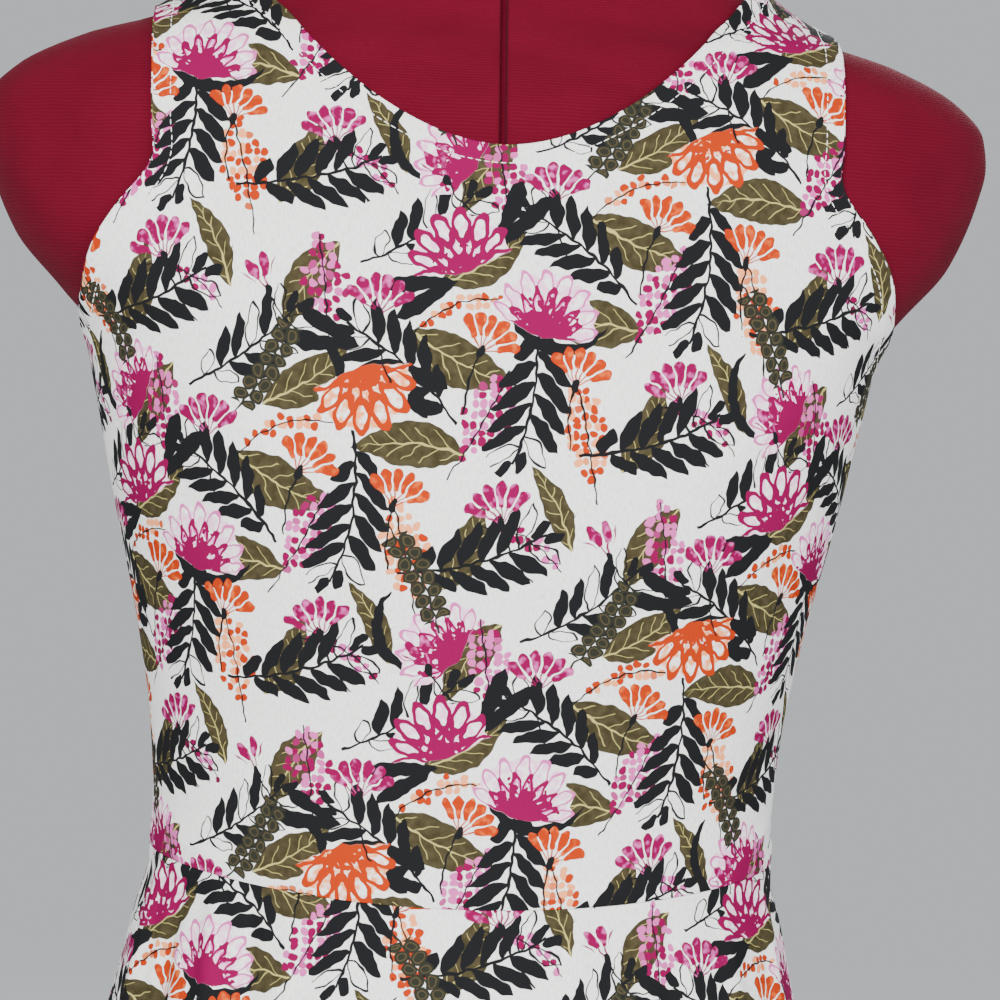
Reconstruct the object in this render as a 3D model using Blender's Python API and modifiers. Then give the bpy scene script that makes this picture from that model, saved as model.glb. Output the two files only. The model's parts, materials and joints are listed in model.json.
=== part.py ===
"""A sleeveless sundress on a limbless dress form.

Units are metres, +Z is up and the front faces -Y. The origin is on the floor, under the middle of the
whole object. The dress is four cut pieces (bodice front and back, skirt front and back), each a thin wall
just clear of the form and of its neighbours. The form is a lofted torso on a pole and a round base.
"""

import math
from bisect import bisect_right
from typing import NamedTuple

import bmesh
import bpy
from mathutils import Vector

# Heights above the floor.
WAIST_Z = 0.725  # waist seam at the centre front
HEM_Z = WAIST_Z - 0.485
UNDERARM_Z = WAIST_Z + 0.212  # top of the side seams
SHOULDER_TIP_Z = WAIST_Z + 0.337  # outer end of the shoulder seams
NECK_POINT_Z = WAIST_Z + 0.3565  # inner end of the shoulder seams
FORM_BOTTOM_Z = WAIST_Z - 0.215

# The cut of the bodice.
NECK_HALF_WIDTH = 0.0998  # between the shoulder seams' inner ends
STRAP_OUTER_X = 0.1310  # outer end of a shoulder seam
STRAP_LEAN = 0.05  # how fast a strap's outer edge leans in as it comes down from the shoulder
FRONT_NECK_DROP = 0.0700
BACK_NECK_DROP = 0.0340
NECK_CURVE = 1.9  # 1 is a straight V and 2 a parabola
FRONT_ARMHOLE_DEPTH = 0.068  # how far an armhole cuts in from the side seam
BACK_ARMHOLE_DEPTH = 0.058
ARMHOLE_CURVE = 2.3  # 2 is an ellipse
STRAP_BLEND = 0.25  # share of the armhole's height over which its curve becomes the strap's straight edge
WAIST_RISE = 0.006  # the waist seam is this much higher at the sides and back than at the centre front
WAIST_DIP_TURN = 75.0  # degrees each side of the centre front over which it dips

# Cloth.
EASE = 0.0026  # clear space between the form and the cloth
PLY = 0.0010
TURNED_PLIES = 1.8  # a turned edge, as a multiple of one ply
NECK_TURNING = 0.008
HEM_TURNING = 0.020
SEAM_GAP = 0.0003
WAIST_GAP = 0.0006  # wider, because the walls on each side of it lean together

# The form and its stand.
CENTRE_SEAM_WIDTH = 0.0025
CENTRE_SEAM_DEPTH = 0.006
NECK_CAP_RADIUS = 0.050
NECK_CAP_HEIGHT = 0.012
POLE_RADIUS = 0.0125
BASE_RADIUS = 0.170
BASE_HEIGHT = 0.016

# Outlines of the turned pieces, down their outer side, as shares of their (radius, height).
NECK_CAP_PROFILE = [(0.0, 1.0), (0.75, 0.92), (0.96, 0.67), (1.0, 0.17), (0.98, 0.0), (0.0, 0.0)]
BASE_PROFILE = [
    (0.0, 1.0),
    (0.15, 1.0),
    (0.91, 0.84),
    (0.985, 0.69),
    (1.0, 0.50),
    (1.0, 0.16),
    (0.985, 0.0),
    (0.0, 0.0),
]

# How finely things are faceted.
COLUMNS = 36  # across each panel
SIDE_ROWS = 6  # from the waist seam to the underarm
ARMHOLE_ROWS = 12  # from the underarm to the shoulder seam
SKIRT_ROWS = 11
EDGE_SAMPLES = 400  # points used to measure along an armhole edge
COLUMNS_EVEN_FROM = 0.35  # share of the bodice's height above which its columns spread evenly in x
COLUMNS_EVEN_OVER = 0.50  # share of the height over which that comes in
FORM_SIDES = 44
FORM_BAND = 0.008  # listed form sections further apart than this get one more ring between them
ROUND_SIDES = 48
SHARP_ANGLE = 40.0  # degrees
SHOULDER_SEARCH = 0.02  # how far past the shoulder seam's ends to look for its ridge
SLOPE_STEP = 0.0005  # for measuring the form's slope


class Section(NamedTuple):
    """A level cut through the form, a superellipse whose front and back halves differ in depth."""

    height: float  # above the waist seam
    half_width: float
    front: float
    back: float
    squareness: float  # 2 is an ellipse


FORM_SECTIONS = [
    Section(-0.215, 0.1520, 0.1030, 0.1100, 2.20),
    Section(-0.160, 0.1540, 0.1040, 0.1120, 2.20),
    Section(-0.100, 0.1445, 0.0990, 0.1030, 2.20),
    Section(-0.037, 0.1290, 0.0910, 0.0880, 2.15),
    Section(0.000, 0.1225, 0.0865, 0.0810, 2.10),
    Section(0.025, 0.1212, 0.0860, 0.0790, 2.10),
    Section(0.059, 0.1235, 0.0890, 0.0810, 2.15),
    Section(0.099, 0.1300, 0.0970, 0.0850, 2.25),
    Section(0.147, 0.1405, 0.1070, 0.0900, 2.35),
    Section(0.187, 0.1485, 0.1090, 0.0930, 2.40),
    Section(0.211, 0.1545, 0.1050, 0.0935, 2.35),
    Section(0.225, 0.1660, 0.1015, 0.0935, 2.30),
    Section(0.247, 0.1850, 0.0950, 0.0930, 2.25),
    Section(0.275, 0.1965, 0.0850, 0.0900, 2.20),
    Section(0.287, 0.1990, 0.0800, 0.0870, 2.20),
    Section(0.299, 0.1975, 0.0745, 0.0825, 2.20),
    Section(0.312, 0.1860, 0.0690, 0.0770, 2.20),
    Section(0.325, 0.1600, 0.0635, 0.0710, 2.20),
    Section(0.3335, 0.1320, 0.0595, 0.0670, 2.15),
    Section(0.354, 0.0985, 0.0555, 0.0620, 2.10),
    Section(0.365, 0.0800, 0.0540, 0.0600, 2.05),
    Section(0.378, 0.0660, 0.0530, 0.0580, 2.00),
    Section(0.395, 0.0590, 0.0520, 0.0560, 2.00),
    Section(0.430, 0.0560, 0.0520, 0.0550, 2.00),
]

SKIRT_SECTIONS = [
    Section(-0.485, 0.2330, 0.1790, 0.1840, 2.00),
    Section(-0.300, 0.1990, 0.1480, 0.1530, 2.02),
    Section(-0.100, 0.1505, 0.1080, 0.1120, 2.08),
    Section(-0.053, 0.1370, 0.0990, 0.1000, 2.10),
    Section(-0.020, 0.1294, 0.0925, 0.0900, 2.10),
    Section(0.000, 0.1245, 0.0885, 0.0830, 2.10),
]


class Fold(NamedTuple):
    """A soft ridge (or, with a negative rise, a trough) that fans out down the skirt."""

    turn: float  # degrees from the centre front, towards +X
    half_width: float  # degrees
    rise: float  # at the hem
    start: float  # below the waist seam


FOLDS = [
    Fold(13.0, 16.0, 0.012, 0.120),
    Fold(35.0, 13.0, -0.010, 0.100),
    Fold(57.0, 16.0, 0.015, 0.070),
    Fold(79.0, 12.0, -0.009, 0.110),
    Fold(100.0, 15.0, 0.011, 0.060),
    Fold(124.0, 13.0, -0.011, 0.090),
    Fold(146.0, 15.0, 0.014, 0.080),
    Fold(168.0, 12.0, -0.009, 0.120),
    Fold(190.0, 16.0, 0.013, 0.100),
    Fold(213.0, 13.0, -0.011, 0.070),
    Fold(236.0, 15.0, 0.015, 0.060),
    Fold(258.0, 11.0, -0.008, 0.100),
    Fold(284.0, 19.0, 0.012, 0.020),
    Fold(309.0, 12.0, -0.011, 0.060),
    Fold(328.0, 14.0, 0.013, 0.080),
    Fold(350.0, 15.0, -0.009, 0.140),
]


# ---------------------------------------------------------------------------------------------- curves


def section_at(sections: list[Section], height: float) -> Section:
    """Blends the listed sections with smooth curves that never overshoot them."""
    heights = [s.height for s in sections]
    height = min(max(height, heights[0]), heights[-1])
    i = min(bisect_right(heights, height), len(sections) - 1) - 1
    span = heights[i + 1] - heights[i]
    along = (height - heights[i]) / span

    def slope(k: int, field: int) -> float:
        if k in (0, len(sections) - 1):
            return 0.0
        before = (sections[k][field] - sections[k - 1][field]) / (heights[k] - heights[k - 1])
        after = (sections[k + 1][field] - sections[k][field]) / (heights[k + 1] - heights[k])
        if before * after <= 0.0:
            return 0.0
        return 2.0 * before * after / (before + after)

    def blend(field: int) -> float:
        a, b = sections[i][field], sections[i + 1][field]
        square, cube = along * along, along**3
        return (
            a * (2 * cube - 3 * square + 1)
            + b * (3 * square - 2 * cube)
            + slope(i, field) * span * (cube - 2 * square + along)
            + slope(i + 1, field) * span * (cube - square)
        )

    return Section(height, *(blend(field) for field in range(1, len(Section._fields))))


def smoothstep(value: float) -> float:
    value = min(max(value, 0.0), 1.0)
    return value * value * (3.0 - 2.0 * value)


def ring_point(section: Section, turn: float) -> Vector:
    """The point of a level section at turn degrees from the centre front, towards +X."""
    sine, cosine = math.sin(math.radians(turn)), math.cos(math.radians(turn))
    power = 2.0 / section.squareness
    depth = section.front if cosine > 0.0 else section.back
    x = math.copysign(section.half_width * abs(sine) ** power, sine)
    y = -math.copysign(depth * abs(cosine) ** power, cosine)
    return Vector((x, y, WAIST_Z + section.height))


# ------------------------------------------------------------------------------------------- the form


def form_section(z: float) -> Section:
    return section_at(FORM_SECTIONS, z - WAIST_Z)


def form_depth_at(x: float, z: float, side: int) -> float:
    """How far the form stands out at a front-view place; side is -1 for the front and 1 for the back."""
    s = form_section(z)
    reach = min(abs(x) / s.half_width, 1.0)
    depth = s.front if side < 0 else s.back
    return side * depth * (1.0 - reach**s.squareness) ** (1.0 / s.squareness)


def form_level(point: Vector) -> float:
    """Zero on the form's surface, positive outside it."""
    s = form_section(point.z)
    depth = s.front if point.y < 0.0 else s.back
    return (abs(point.x) / s.half_width) ** s.squareness + (abs(point.y) / depth) ** s.squareness - 1.0


def form_normal(point: Vector) -> Vector:
    """The outward direction of the form's surface at a point on it."""
    slopes = []
    for axis in range(3):
        ahead, behind = point.copy(), point.copy()
        ahead[axis] += SLOPE_STEP
        behind[axis] -= SLOPE_STEP
        slopes.append(form_level(ahead) - form_level(behind))
    return Vector(slopes).normalized()


def form_ring(z: float) -> list[Vector]:
    """A level ring of the form's surface, notched at the centre front for the open seam."""
    section = form_section(z)
    ring = []
    for i in range(1, FORM_SIDES):
        ring.append(ring_point(section, 360.0 * i / FORM_SIDES))
    front = ring_point(section, 0.0)
    half, floor_half = CENTRE_SEAM_WIDTH / 2, CENTRE_SEAM_WIDTH / 4
    ring.append(front + Vector((-half, 0.0, 0.0)))
    ring.append(front + Vector((-floor_half, CENTRE_SEAM_DEPTH, 0.0)))
    ring.append(front + Vector((floor_half, CENTRE_SEAM_DEPTH, 0.0)))
    ring.append(front + Vector((half, 0.0, 0.0)))
    return ring


# ----------------------------------------------------------------------------------------- the bodice


class BodiceCut(NamedTuple):
    """What differs between the bodice's two pieces."""

    side: int  # -1 is the front and 1 the back
    neck_drop: float
    armhole_depth: float


FRONT_CUT = BodiceCut(-1, FRONT_NECK_DROP, FRONT_ARMHOLE_DEPTH)
BACK_CUT = BodiceCut(1, BACK_NECK_DROP, BACK_ARMHOLE_DEPTH)


def waist_seam_z(turn: float) -> float:
    """The waist seam dips at the centre front."""
    dip = smoothstep(1.0 - abs(turn) / WAIST_DIP_TURN)
    return WAIST_Z + WAIST_RISE * (1.0 - dip)


def shoulder_z(x: float) -> float:
    """Height of the form's shoulder ridge at x, found by halving between two heights."""
    low, high = SHOULDER_TIP_Z - SHOULDER_SEARCH, NECK_POINT_Z + SHOULDER_SEARCH
    for _ in range(30):
        middle = (low + high) / 2
        if form_section(middle).half_width > abs(x):
            low = middle
        else:
            high = middle
    return (low + high) / 2


def top_z(cut: BodiceCut, x: float) -> float:
    """Height of the neck edge or of the shoulder seam at x."""
    if abs(x) >= NECK_HALF_WIDTH:
        return shoulder_z(x)
    drop = cut.neck_drop * (1.0 - (abs(x) / NECK_HALF_WIDTH) ** NECK_CURVE)
    return shoulder_z(NECK_HALF_WIDTH) - drop


def outer_x(cut: BodiceCut, z: float) -> float:
    """Half-width of the piece at a height: out to the side seam, or to the armhole edge above it."""
    s = form_section(z)
    tip = shoulder_z(STRAP_OUTER_X)
    if z <= UNDERARM_Z:
        return s.half_width
    middle, half = (UNDERARM_Z + tip) / 2, (tip - UNDERARM_Z) / 2
    level = min(abs(z - middle) / half, 1.0)
    y = cut.armhole_depth * (1.0 - level**ARMHOLE_CURVE) ** (1.0 / ARMHOLE_CURVE)
    depth = s.front if cut.side < 0 else s.back
    scooped = s.half_width * (1.0 - min(y / depth, 1.0) ** s.squareness) ** (1.0 / s.squareness)
    straight = STRAP_OUTER_X - STRAP_LEAN * (tip - z)
    return scooped + (straight - scooped) * smoothstep((z - middle) / (2.0 * half * STRAP_BLEND) + 0.5)


def bodice_rows(cut: BodiceCut) -> list[float]:
    """Row heights as fractions of the outer edge; above the underarm they are even along the armhole."""
    tip = shoulder_z(STRAP_OUTER_X)
    edge_waist = WAIST_Z + WAIST_RISE
    heights = [edge_waist + (UNDERARM_Z - edge_waist) * i / SIDE_ROWS for i in range(SIDE_ROWS)]
    edge = []
    for i in range(EDGE_SAMPLES + 1):
        z = UNDERARM_Z + (tip - UNDERARM_Z) * (1.0 - math.cos(math.pi * i / EDGE_SAMPLES)) / 2
        x = outer_x(cut, z)
        edge.append(Vector((x, form_depth_at(x, z, cut.side), z)))
    lengths = [0.0]
    for a, b in zip(edge, edge[1:]):
        lengths.append(lengths[-1] + (b - a).length)
    for i in range(ARMHOLE_ROWS):
        k = bisect_right(lengths, lengths[-1] * i / ARMHOLE_ROWS) - 1
        heights.append(edge[k].z)
    heights.append(tip)
    return [(z - edge_waist) / (tip - edge_waist) for z in heights]


def bodice_point(cut: BodiceCut, across: float, row: float) -> Vector:
    """A point on the form's surface under the bodice; across runs from -1 to 1 and row from 0 to 1."""
    reach = abs(across)
    waist_z = waist_seam_z(90.0 * across if cut.side < 0 else 180.0 - 90.0 * across)
    tip = shoulder_z(STRAP_OUTER_X)
    edge_waist = WAIST_Z + WAIST_RISE
    edge_x = outer_x(cut, edge_waist + (tip - edge_waist) * row)
    section = form_section(waist_z)
    round_share = math.sin(math.radians(90.0 * reach)) ** (2.0 / section.squareness)
    flat = smoothstep((row - COLUMNS_EVEN_FROM) / COLUMNS_EVEN_OVER)
    x = edge_x * (round_share * (1.0 - flat) + reach * flat)
    z = waist_z + (top_z(cut, STRAP_OUTER_X * reach) - waist_z) * row
    x = math.copysign(min(x, form_section(z).half_width), across)
    return Vector((x, form_depth_at(x, z, cut.side), z))


def bodice_grid(cut: BodiceCut) -> list[list[Vector]]:
    """Rows of points on the inside of a bodice piece, from the waist seam up."""
    grid = []
    for row in bodice_rows(cut):
        points = []
        for i in range(COLUMNS + 1):
            skin = bodice_point(cut, 2.0 * i / COLUMNS - 1.0, row)
            point = skin + form_normal(skin) * EASE
            point.y = cut.side * max(point.y * cut.side, SEAM_GAP / 2)
            if row == 0.0:
                point.z = skin.z + WAIST_GAP / 2
            points.append(point)
        grid.append(points)
    return grid


# ------------------------------------------------------------------------------------------ the skirt


def fold_rise(turn: float, drop: float) -> float:
    """How far the skirt's folds stand out at a place."""
    total = 0.0
    for fold in FOLDS:
        away = abs((turn - fold.turn + 180.0) % 360.0 - 180.0) / fold.half_width
        if away < 1.0:
            grown = smoothstep((drop - fold.start) / (WAIST_Z - HEM_Z - fold.start))
            total += fold.rise * grown * (1.0 + math.cos(math.pi * away)) / 2
    return total


def skirt_grid(side: int) -> list[list[Vector]]:
    """Rows of points on the inside of a skirt piece, from the waist seam down."""
    grid = []
    for j in range(SKIRT_ROWS + 1):
        down = j / SKIRT_ROWS
        points = []
        for i in range(COLUMNS + 1):
            across = 2.0 * i / COLUMNS - 1.0
            turn = 90.0 * across if side < 0 else 180.0 - 90.0 * across
            top = waist_seam_z(turn) - WAIST_GAP / 2
            z = top + (HEM_Z - top) * down
            point = ring_point(section_at(SKIRT_SECTIONS, z - WAIST_Z), turn)
            outward = Vector((point.x, point.y, 0.0)).normalized()
            point += outward * fold_rise(turn, WAIST_Z - z)
            point.y = side * max(point.y * side, SEAM_GAP / 2)
            point.z = z
            points.append(point)
        grid.append(points)
    return grid


# ---------------------------------------------------------------------------------------- build tools


def clear_scene() -> None:
    for old in list(bpy.data.objects):
        bpy.data.objects.remove(old, do_unlink=True)


def make_material(name: str, colour: tuple[float, float, float], roughness: float, metallic: float = 0.0):
    material = bpy.data.materials.new(name)
    material.use_nodes = True
    shader = material.node_tree.nodes["Principled BSDF"]
    shader.inputs["Base Color"].default_value = (*colour, 1.0)
    shader.inputs["Roughness"].default_value = roughness
    shader.inputs["Metallic"].default_value = metallic
    return material


def add_object(name: str, mesh: bpy.types.Mesh, material, collection) -> bpy.types.Object:
    mesh.materials.append(material)
    mesh.shade_smooth()
    mesh.set_sharp_from_angle(angle=math.radians(SHARP_ANGLE))
    made = bpy.data.objects.new(name, mesh)
    collection.objects.link(made)
    return made


def sheet_mesh(name: str, grid: list[list[Vector]]) -> bpy.types.Mesh:
    """An open sheet of quads through a grid of points."""
    bm = bmesh.new()
    rows, columns = len(grid), len(grid[0])
    bmesh.ops.create_grid(bm, x_segments=columns - 1, y_segments=rows - 1, size=1.0)
    bm.verts.ensure_lookup_table()
    ordered = sorted(bm.verts, key=lambda v: (round(v.co.y, 5), round(v.co.x, 5)))
    for k, vert in enumerate(ordered):
        vert.co = grid[k // columns][k % columns]
    middle = Vector((0.0, 0.0, WAIST_Z))
    face = max(bm.faces, key=lambda f: abs(f.calc_center_median().y))
    face.normal_update()
    away = face.calc_center_median() - middle
    if face.normal.x * away.x + face.normal.y * away.y < 0.0:
        bmesh.ops.reverse_faces(bm, faces=bm.faces)
    mesh = bpy.data.meshes.new(name)
    bm.to_mesh(mesh)
    bm.free()
    return mesh


def distance_to_path(point: Vector, path: list[Vector]) -> float:
    """Shortest distance from a point to a line through the path's points."""
    best = math.inf
    for a, b in zip(path, path[1:]):
        along = b - a
        share = min(max((point - a).dot(along) / along.length_squared, 0.0), 1.0)
        best = min(best, (point - a - along * share).length)
    return best


def add_panel(name: str, grid, edges, turning: float, material, collection) -> bpy.types.Object:
    """A cloth panel through a grid of points, its wall double within the turning of its finished edges."""
    panel = add_object(name, sheet_mesh(name, grid), material, collection)
    turned = panel.vertex_groups.new(name="turned edge")
    for vert in panel.data.vertices:
        if min(distance_to_path(vert.co, path) for path in edges) <= turning:
            turned.add([vert.index], 1.0, "REPLACE")
    wall = panel.modifiers.new("cloth", "SOLIDIFY")
    wall.thickness = PLY * TURNED_PLIES
    wall.offset = 1.0
    wall.vertex_group = turned.name
    wall.thickness_vertex_group = 1.0 / TURNED_PLIES
    return panel


def finished_edges(grid: list[list[Vector]]) -> list[list[Vector]]:
    """The neck edge and the two armhole edges of a bodice piece."""
    neck = [p for p in grid[-1] if abs(p.x) <= NECK_HALF_WIDTH + EASE]
    armhole_rows = grid[SIDE_ROWS:]
    return [neck, [row[0] for row in armhole_rows], [row[-1] for row in armhole_rows]]


def add_loft(name: str, rings: list[list[Vector]], material, collection) -> bpy.types.Object:
    """A closed solid through level rings of equal count, with flat ends."""
    bm = bmesh.new()
    loops = [[bm.verts.new(p) for p in ring] for ring in rings]
    count = len(rings[0])
    for lower, upper in zip(loops, loops[1:]):
        for i in range(count):
            j = (i + 1) % count
            bm.faces.new((lower[i], lower[j], upper[j], upper[i]))
    bm.faces.new(list(reversed(loops[0])))
    bm.faces.new(loops[-1])
    bmesh.ops.recalc_face_normals(bm, faces=bm.faces)
    mesh = bpy.data.meshes.new(name)
    bm.to_mesh(mesh)
    bm.free()
    return add_object(name, mesh, material, collection)


def add_turned(name: str, profile, radius: float, low: float, height: float, material, collection):
    """A solid of revolution standing on the level low."""
    mesh = bpy.data.meshes.new(name)
    edges = [(i, i + 1) for i in range(len(profile) - 1)]
    mesh.from_pydata([(out * radius, 0.0, low + up * height) for out, up in profile], edges, [])
    turned = add_object(name, mesh, material, collection)
    screw = turned.modifiers.new("turn", "SCREW")
    screw.steps = screw.render_steps = ROUND_SIDES
    screw.use_merge_vertices = True
    screw.merge_threshold = 0.0001
    return turned


def form_heights(low: float, high: float) -> list[float]:
    """Ring heights for a stretch of the form: its ends, the listed sections and one between most of them."""
    inside = [s.height + WAIST_Z for s in FORM_SECTIONS if low < s.height + WAIST_Z < high]
    stops = [low, *inside, high]
    heights = []
    for a, b in zip(stops, stops[1:]):
        heights += [a, (a + b) / 2] if b - a > FORM_BAND else [a]
    return heights + [high]


def build() -> None:
    clear_scene()
    collection = bpy.data.collections.new("sundress_on_form")
    bpy.context.scene.collection.children.link(collection)
    jersey = make_material("printed_jersey", (0.80, 0.80, 0.77), 0.85)
    knit = make_material("red_knit", (0.19, 0.010, 0.028), 0.90)
    satin = make_material("satin_black", (0.020, 0.020, 0.022), 0.40)
    steel = make_material("pole_steel", (0.60, 0.60, 0.61), 0.30, 1.0)

    for name, cut in (("bodice_front", FRONT_CUT), ("bodice_back", BACK_CUT)):
        grid = bodice_grid(cut)
        add_panel(name, grid, finished_edges(grid), NECK_TURNING, jersey, collection)
    for name, side in (("skirt_front", -1), ("skirt_back", 1)):
        grid = skirt_grid(side)
        add_panel(name, grid, [grid[-1]], HEM_TURNING, jersey, collection)

    neck_top = WAIST_Z + FORM_SECTIONS[-1].height
    split = WAIST_Z - WAIST_GAP
    chest = [form_ring(z) for z in form_heights(WAIST_Z, neck_top)]
    hips = [form_ring(z) for z in form_heights(FORM_BOTTOM_Z, split)]
    add_loft("form_chest", chest, knit, collection)
    add_loft("form_hips", hips, knit, collection)

    cap_low = neck_top + SEAM_GAP
    add_turned("neck_cap", NECK_CAP_PROFILE, NECK_CAP_RADIUS, cap_low, NECK_CAP_HEIGHT, satin, collection)
    add_turned("base", BASE_PROFILE, BASE_RADIUS, 0.0, BASE_HEIGHT, satin, collection)

    pole_low, pole_high = BASE_HEIGHT + SEAM_GAP, FORM_BOTTOM_Z - SEAM_GAP
    bpy.ops.mesh.primitive_cylinder_add(
        vertices=ROUND_SIDES // 2,
        radius=POLE_RADIUS,
        depth=pole_high - pole_low,
        location=(0.0, 0.0, (pole_low + pole_high) / 2),
    )
    pole = bpy.context.object
    pole.name = "pole"
    pole.data.materials.append(steel)
    for old in list(pole.users_collection):
        old.objects.unlink(pole)
    collection.objects.link(pole)


build()
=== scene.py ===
"""The looks of a sleeveless floral sundress on a limbless dress form.

Lengths are metres, +Z is up and the dress faces -Y, except in the print, which is drawn in millimetres
on the flat cloth. The cloth is four cut pieces of printed jersey, each a thin shell on its solid's form.
"""

from __future__ import annotations

import json
import logging
import math
from collections.abc import Callable
from dataclasses import dataclass, field
from enum import Enum

import bpy
import numpy as np
from mathutils import Matrix, Vector
from mathutils.bvhtree import BVHTree
from mathutils.kdtree import KDTree

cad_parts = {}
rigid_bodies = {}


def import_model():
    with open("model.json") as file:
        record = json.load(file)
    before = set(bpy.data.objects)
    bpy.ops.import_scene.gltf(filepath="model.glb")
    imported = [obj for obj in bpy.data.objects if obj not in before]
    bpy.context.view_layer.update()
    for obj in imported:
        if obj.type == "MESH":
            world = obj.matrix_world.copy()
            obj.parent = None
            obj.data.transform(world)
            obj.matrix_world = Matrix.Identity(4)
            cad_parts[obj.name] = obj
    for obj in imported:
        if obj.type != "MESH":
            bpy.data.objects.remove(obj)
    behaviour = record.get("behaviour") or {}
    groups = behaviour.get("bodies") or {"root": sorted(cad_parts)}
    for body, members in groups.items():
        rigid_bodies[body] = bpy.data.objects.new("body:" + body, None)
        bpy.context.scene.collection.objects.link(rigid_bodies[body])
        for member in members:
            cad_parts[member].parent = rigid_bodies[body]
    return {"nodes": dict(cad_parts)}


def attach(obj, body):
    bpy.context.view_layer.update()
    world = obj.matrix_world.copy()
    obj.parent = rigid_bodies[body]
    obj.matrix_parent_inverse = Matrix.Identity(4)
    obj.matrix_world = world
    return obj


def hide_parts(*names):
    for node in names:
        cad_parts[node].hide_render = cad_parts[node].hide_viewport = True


LOG = logging.getLogger("sundress")
MM = 0.001
BODY = "root"

Colour = tuple[float, float, float]
Place = tuple[float, float]
Sockets = dict[str | int, object]
Array = np.ndarray


# ------------------------------------------------------------------------------------- shader building


def operator(operation: str, swapped: bool = False) -> Callable[[Signal, Number], Signal]:
    """Makes a method that adds one Math node.

    Args:
        operation: the node's operation.
        swapped: whether the other value comes first, as in a reflected operator.

    Returns:
        The method.
    """

    def apply(self: Signal, other: Number) -> Signal:
        """Adds the node."""
        return self.tree.maths(operation, *((other, self) if swapped else (self, other)))

    return apply


@dataclass(frozen=True)
class Signal:
    """A value on its way through a shader tree; arithmetic on it adds Math nodes.

    The least of two drawn shapes is where they overlap, and the most is both together.
    """

    tree: ShaderTree
    socket: bpy.types.NodeSocket

    __add__ = __radd__ = operator("ADD")
    __sub__, __rsub__ = operator("SUBTRACT"), operator("SUBTRACT", swapped=True)
    __mul__ = __rmul__ = operator("MULTIPLY")
    __truediv__, __rtruediv__ = operator("DIVIDE"), operator("DIVIDE", swapped=True)
    least, most = operator("MINIMUM"), operator("MAXIMUM")

    def __abs__(self) -> Signal:
        """The size without the sign."""
        return self.tree.maths("ABSOLUTE", self)

    def times_plus(self, factor: Number, addend: Number) -> Signal:
        """This times a factor, plus an addend, in one node."""
        return self.tree.maths("MULTIPLY_ADD", self, factor, addend)

    def sign(self) -> Signal:
        """-1, 0 or 1."""
        return self.tree.maths("SIGN", self)

    def fraction(self) -> Signal:
        """What is left above the whole number below."""
        return self.tree.maths("FRACT", self)


Number = Signal | float


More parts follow.
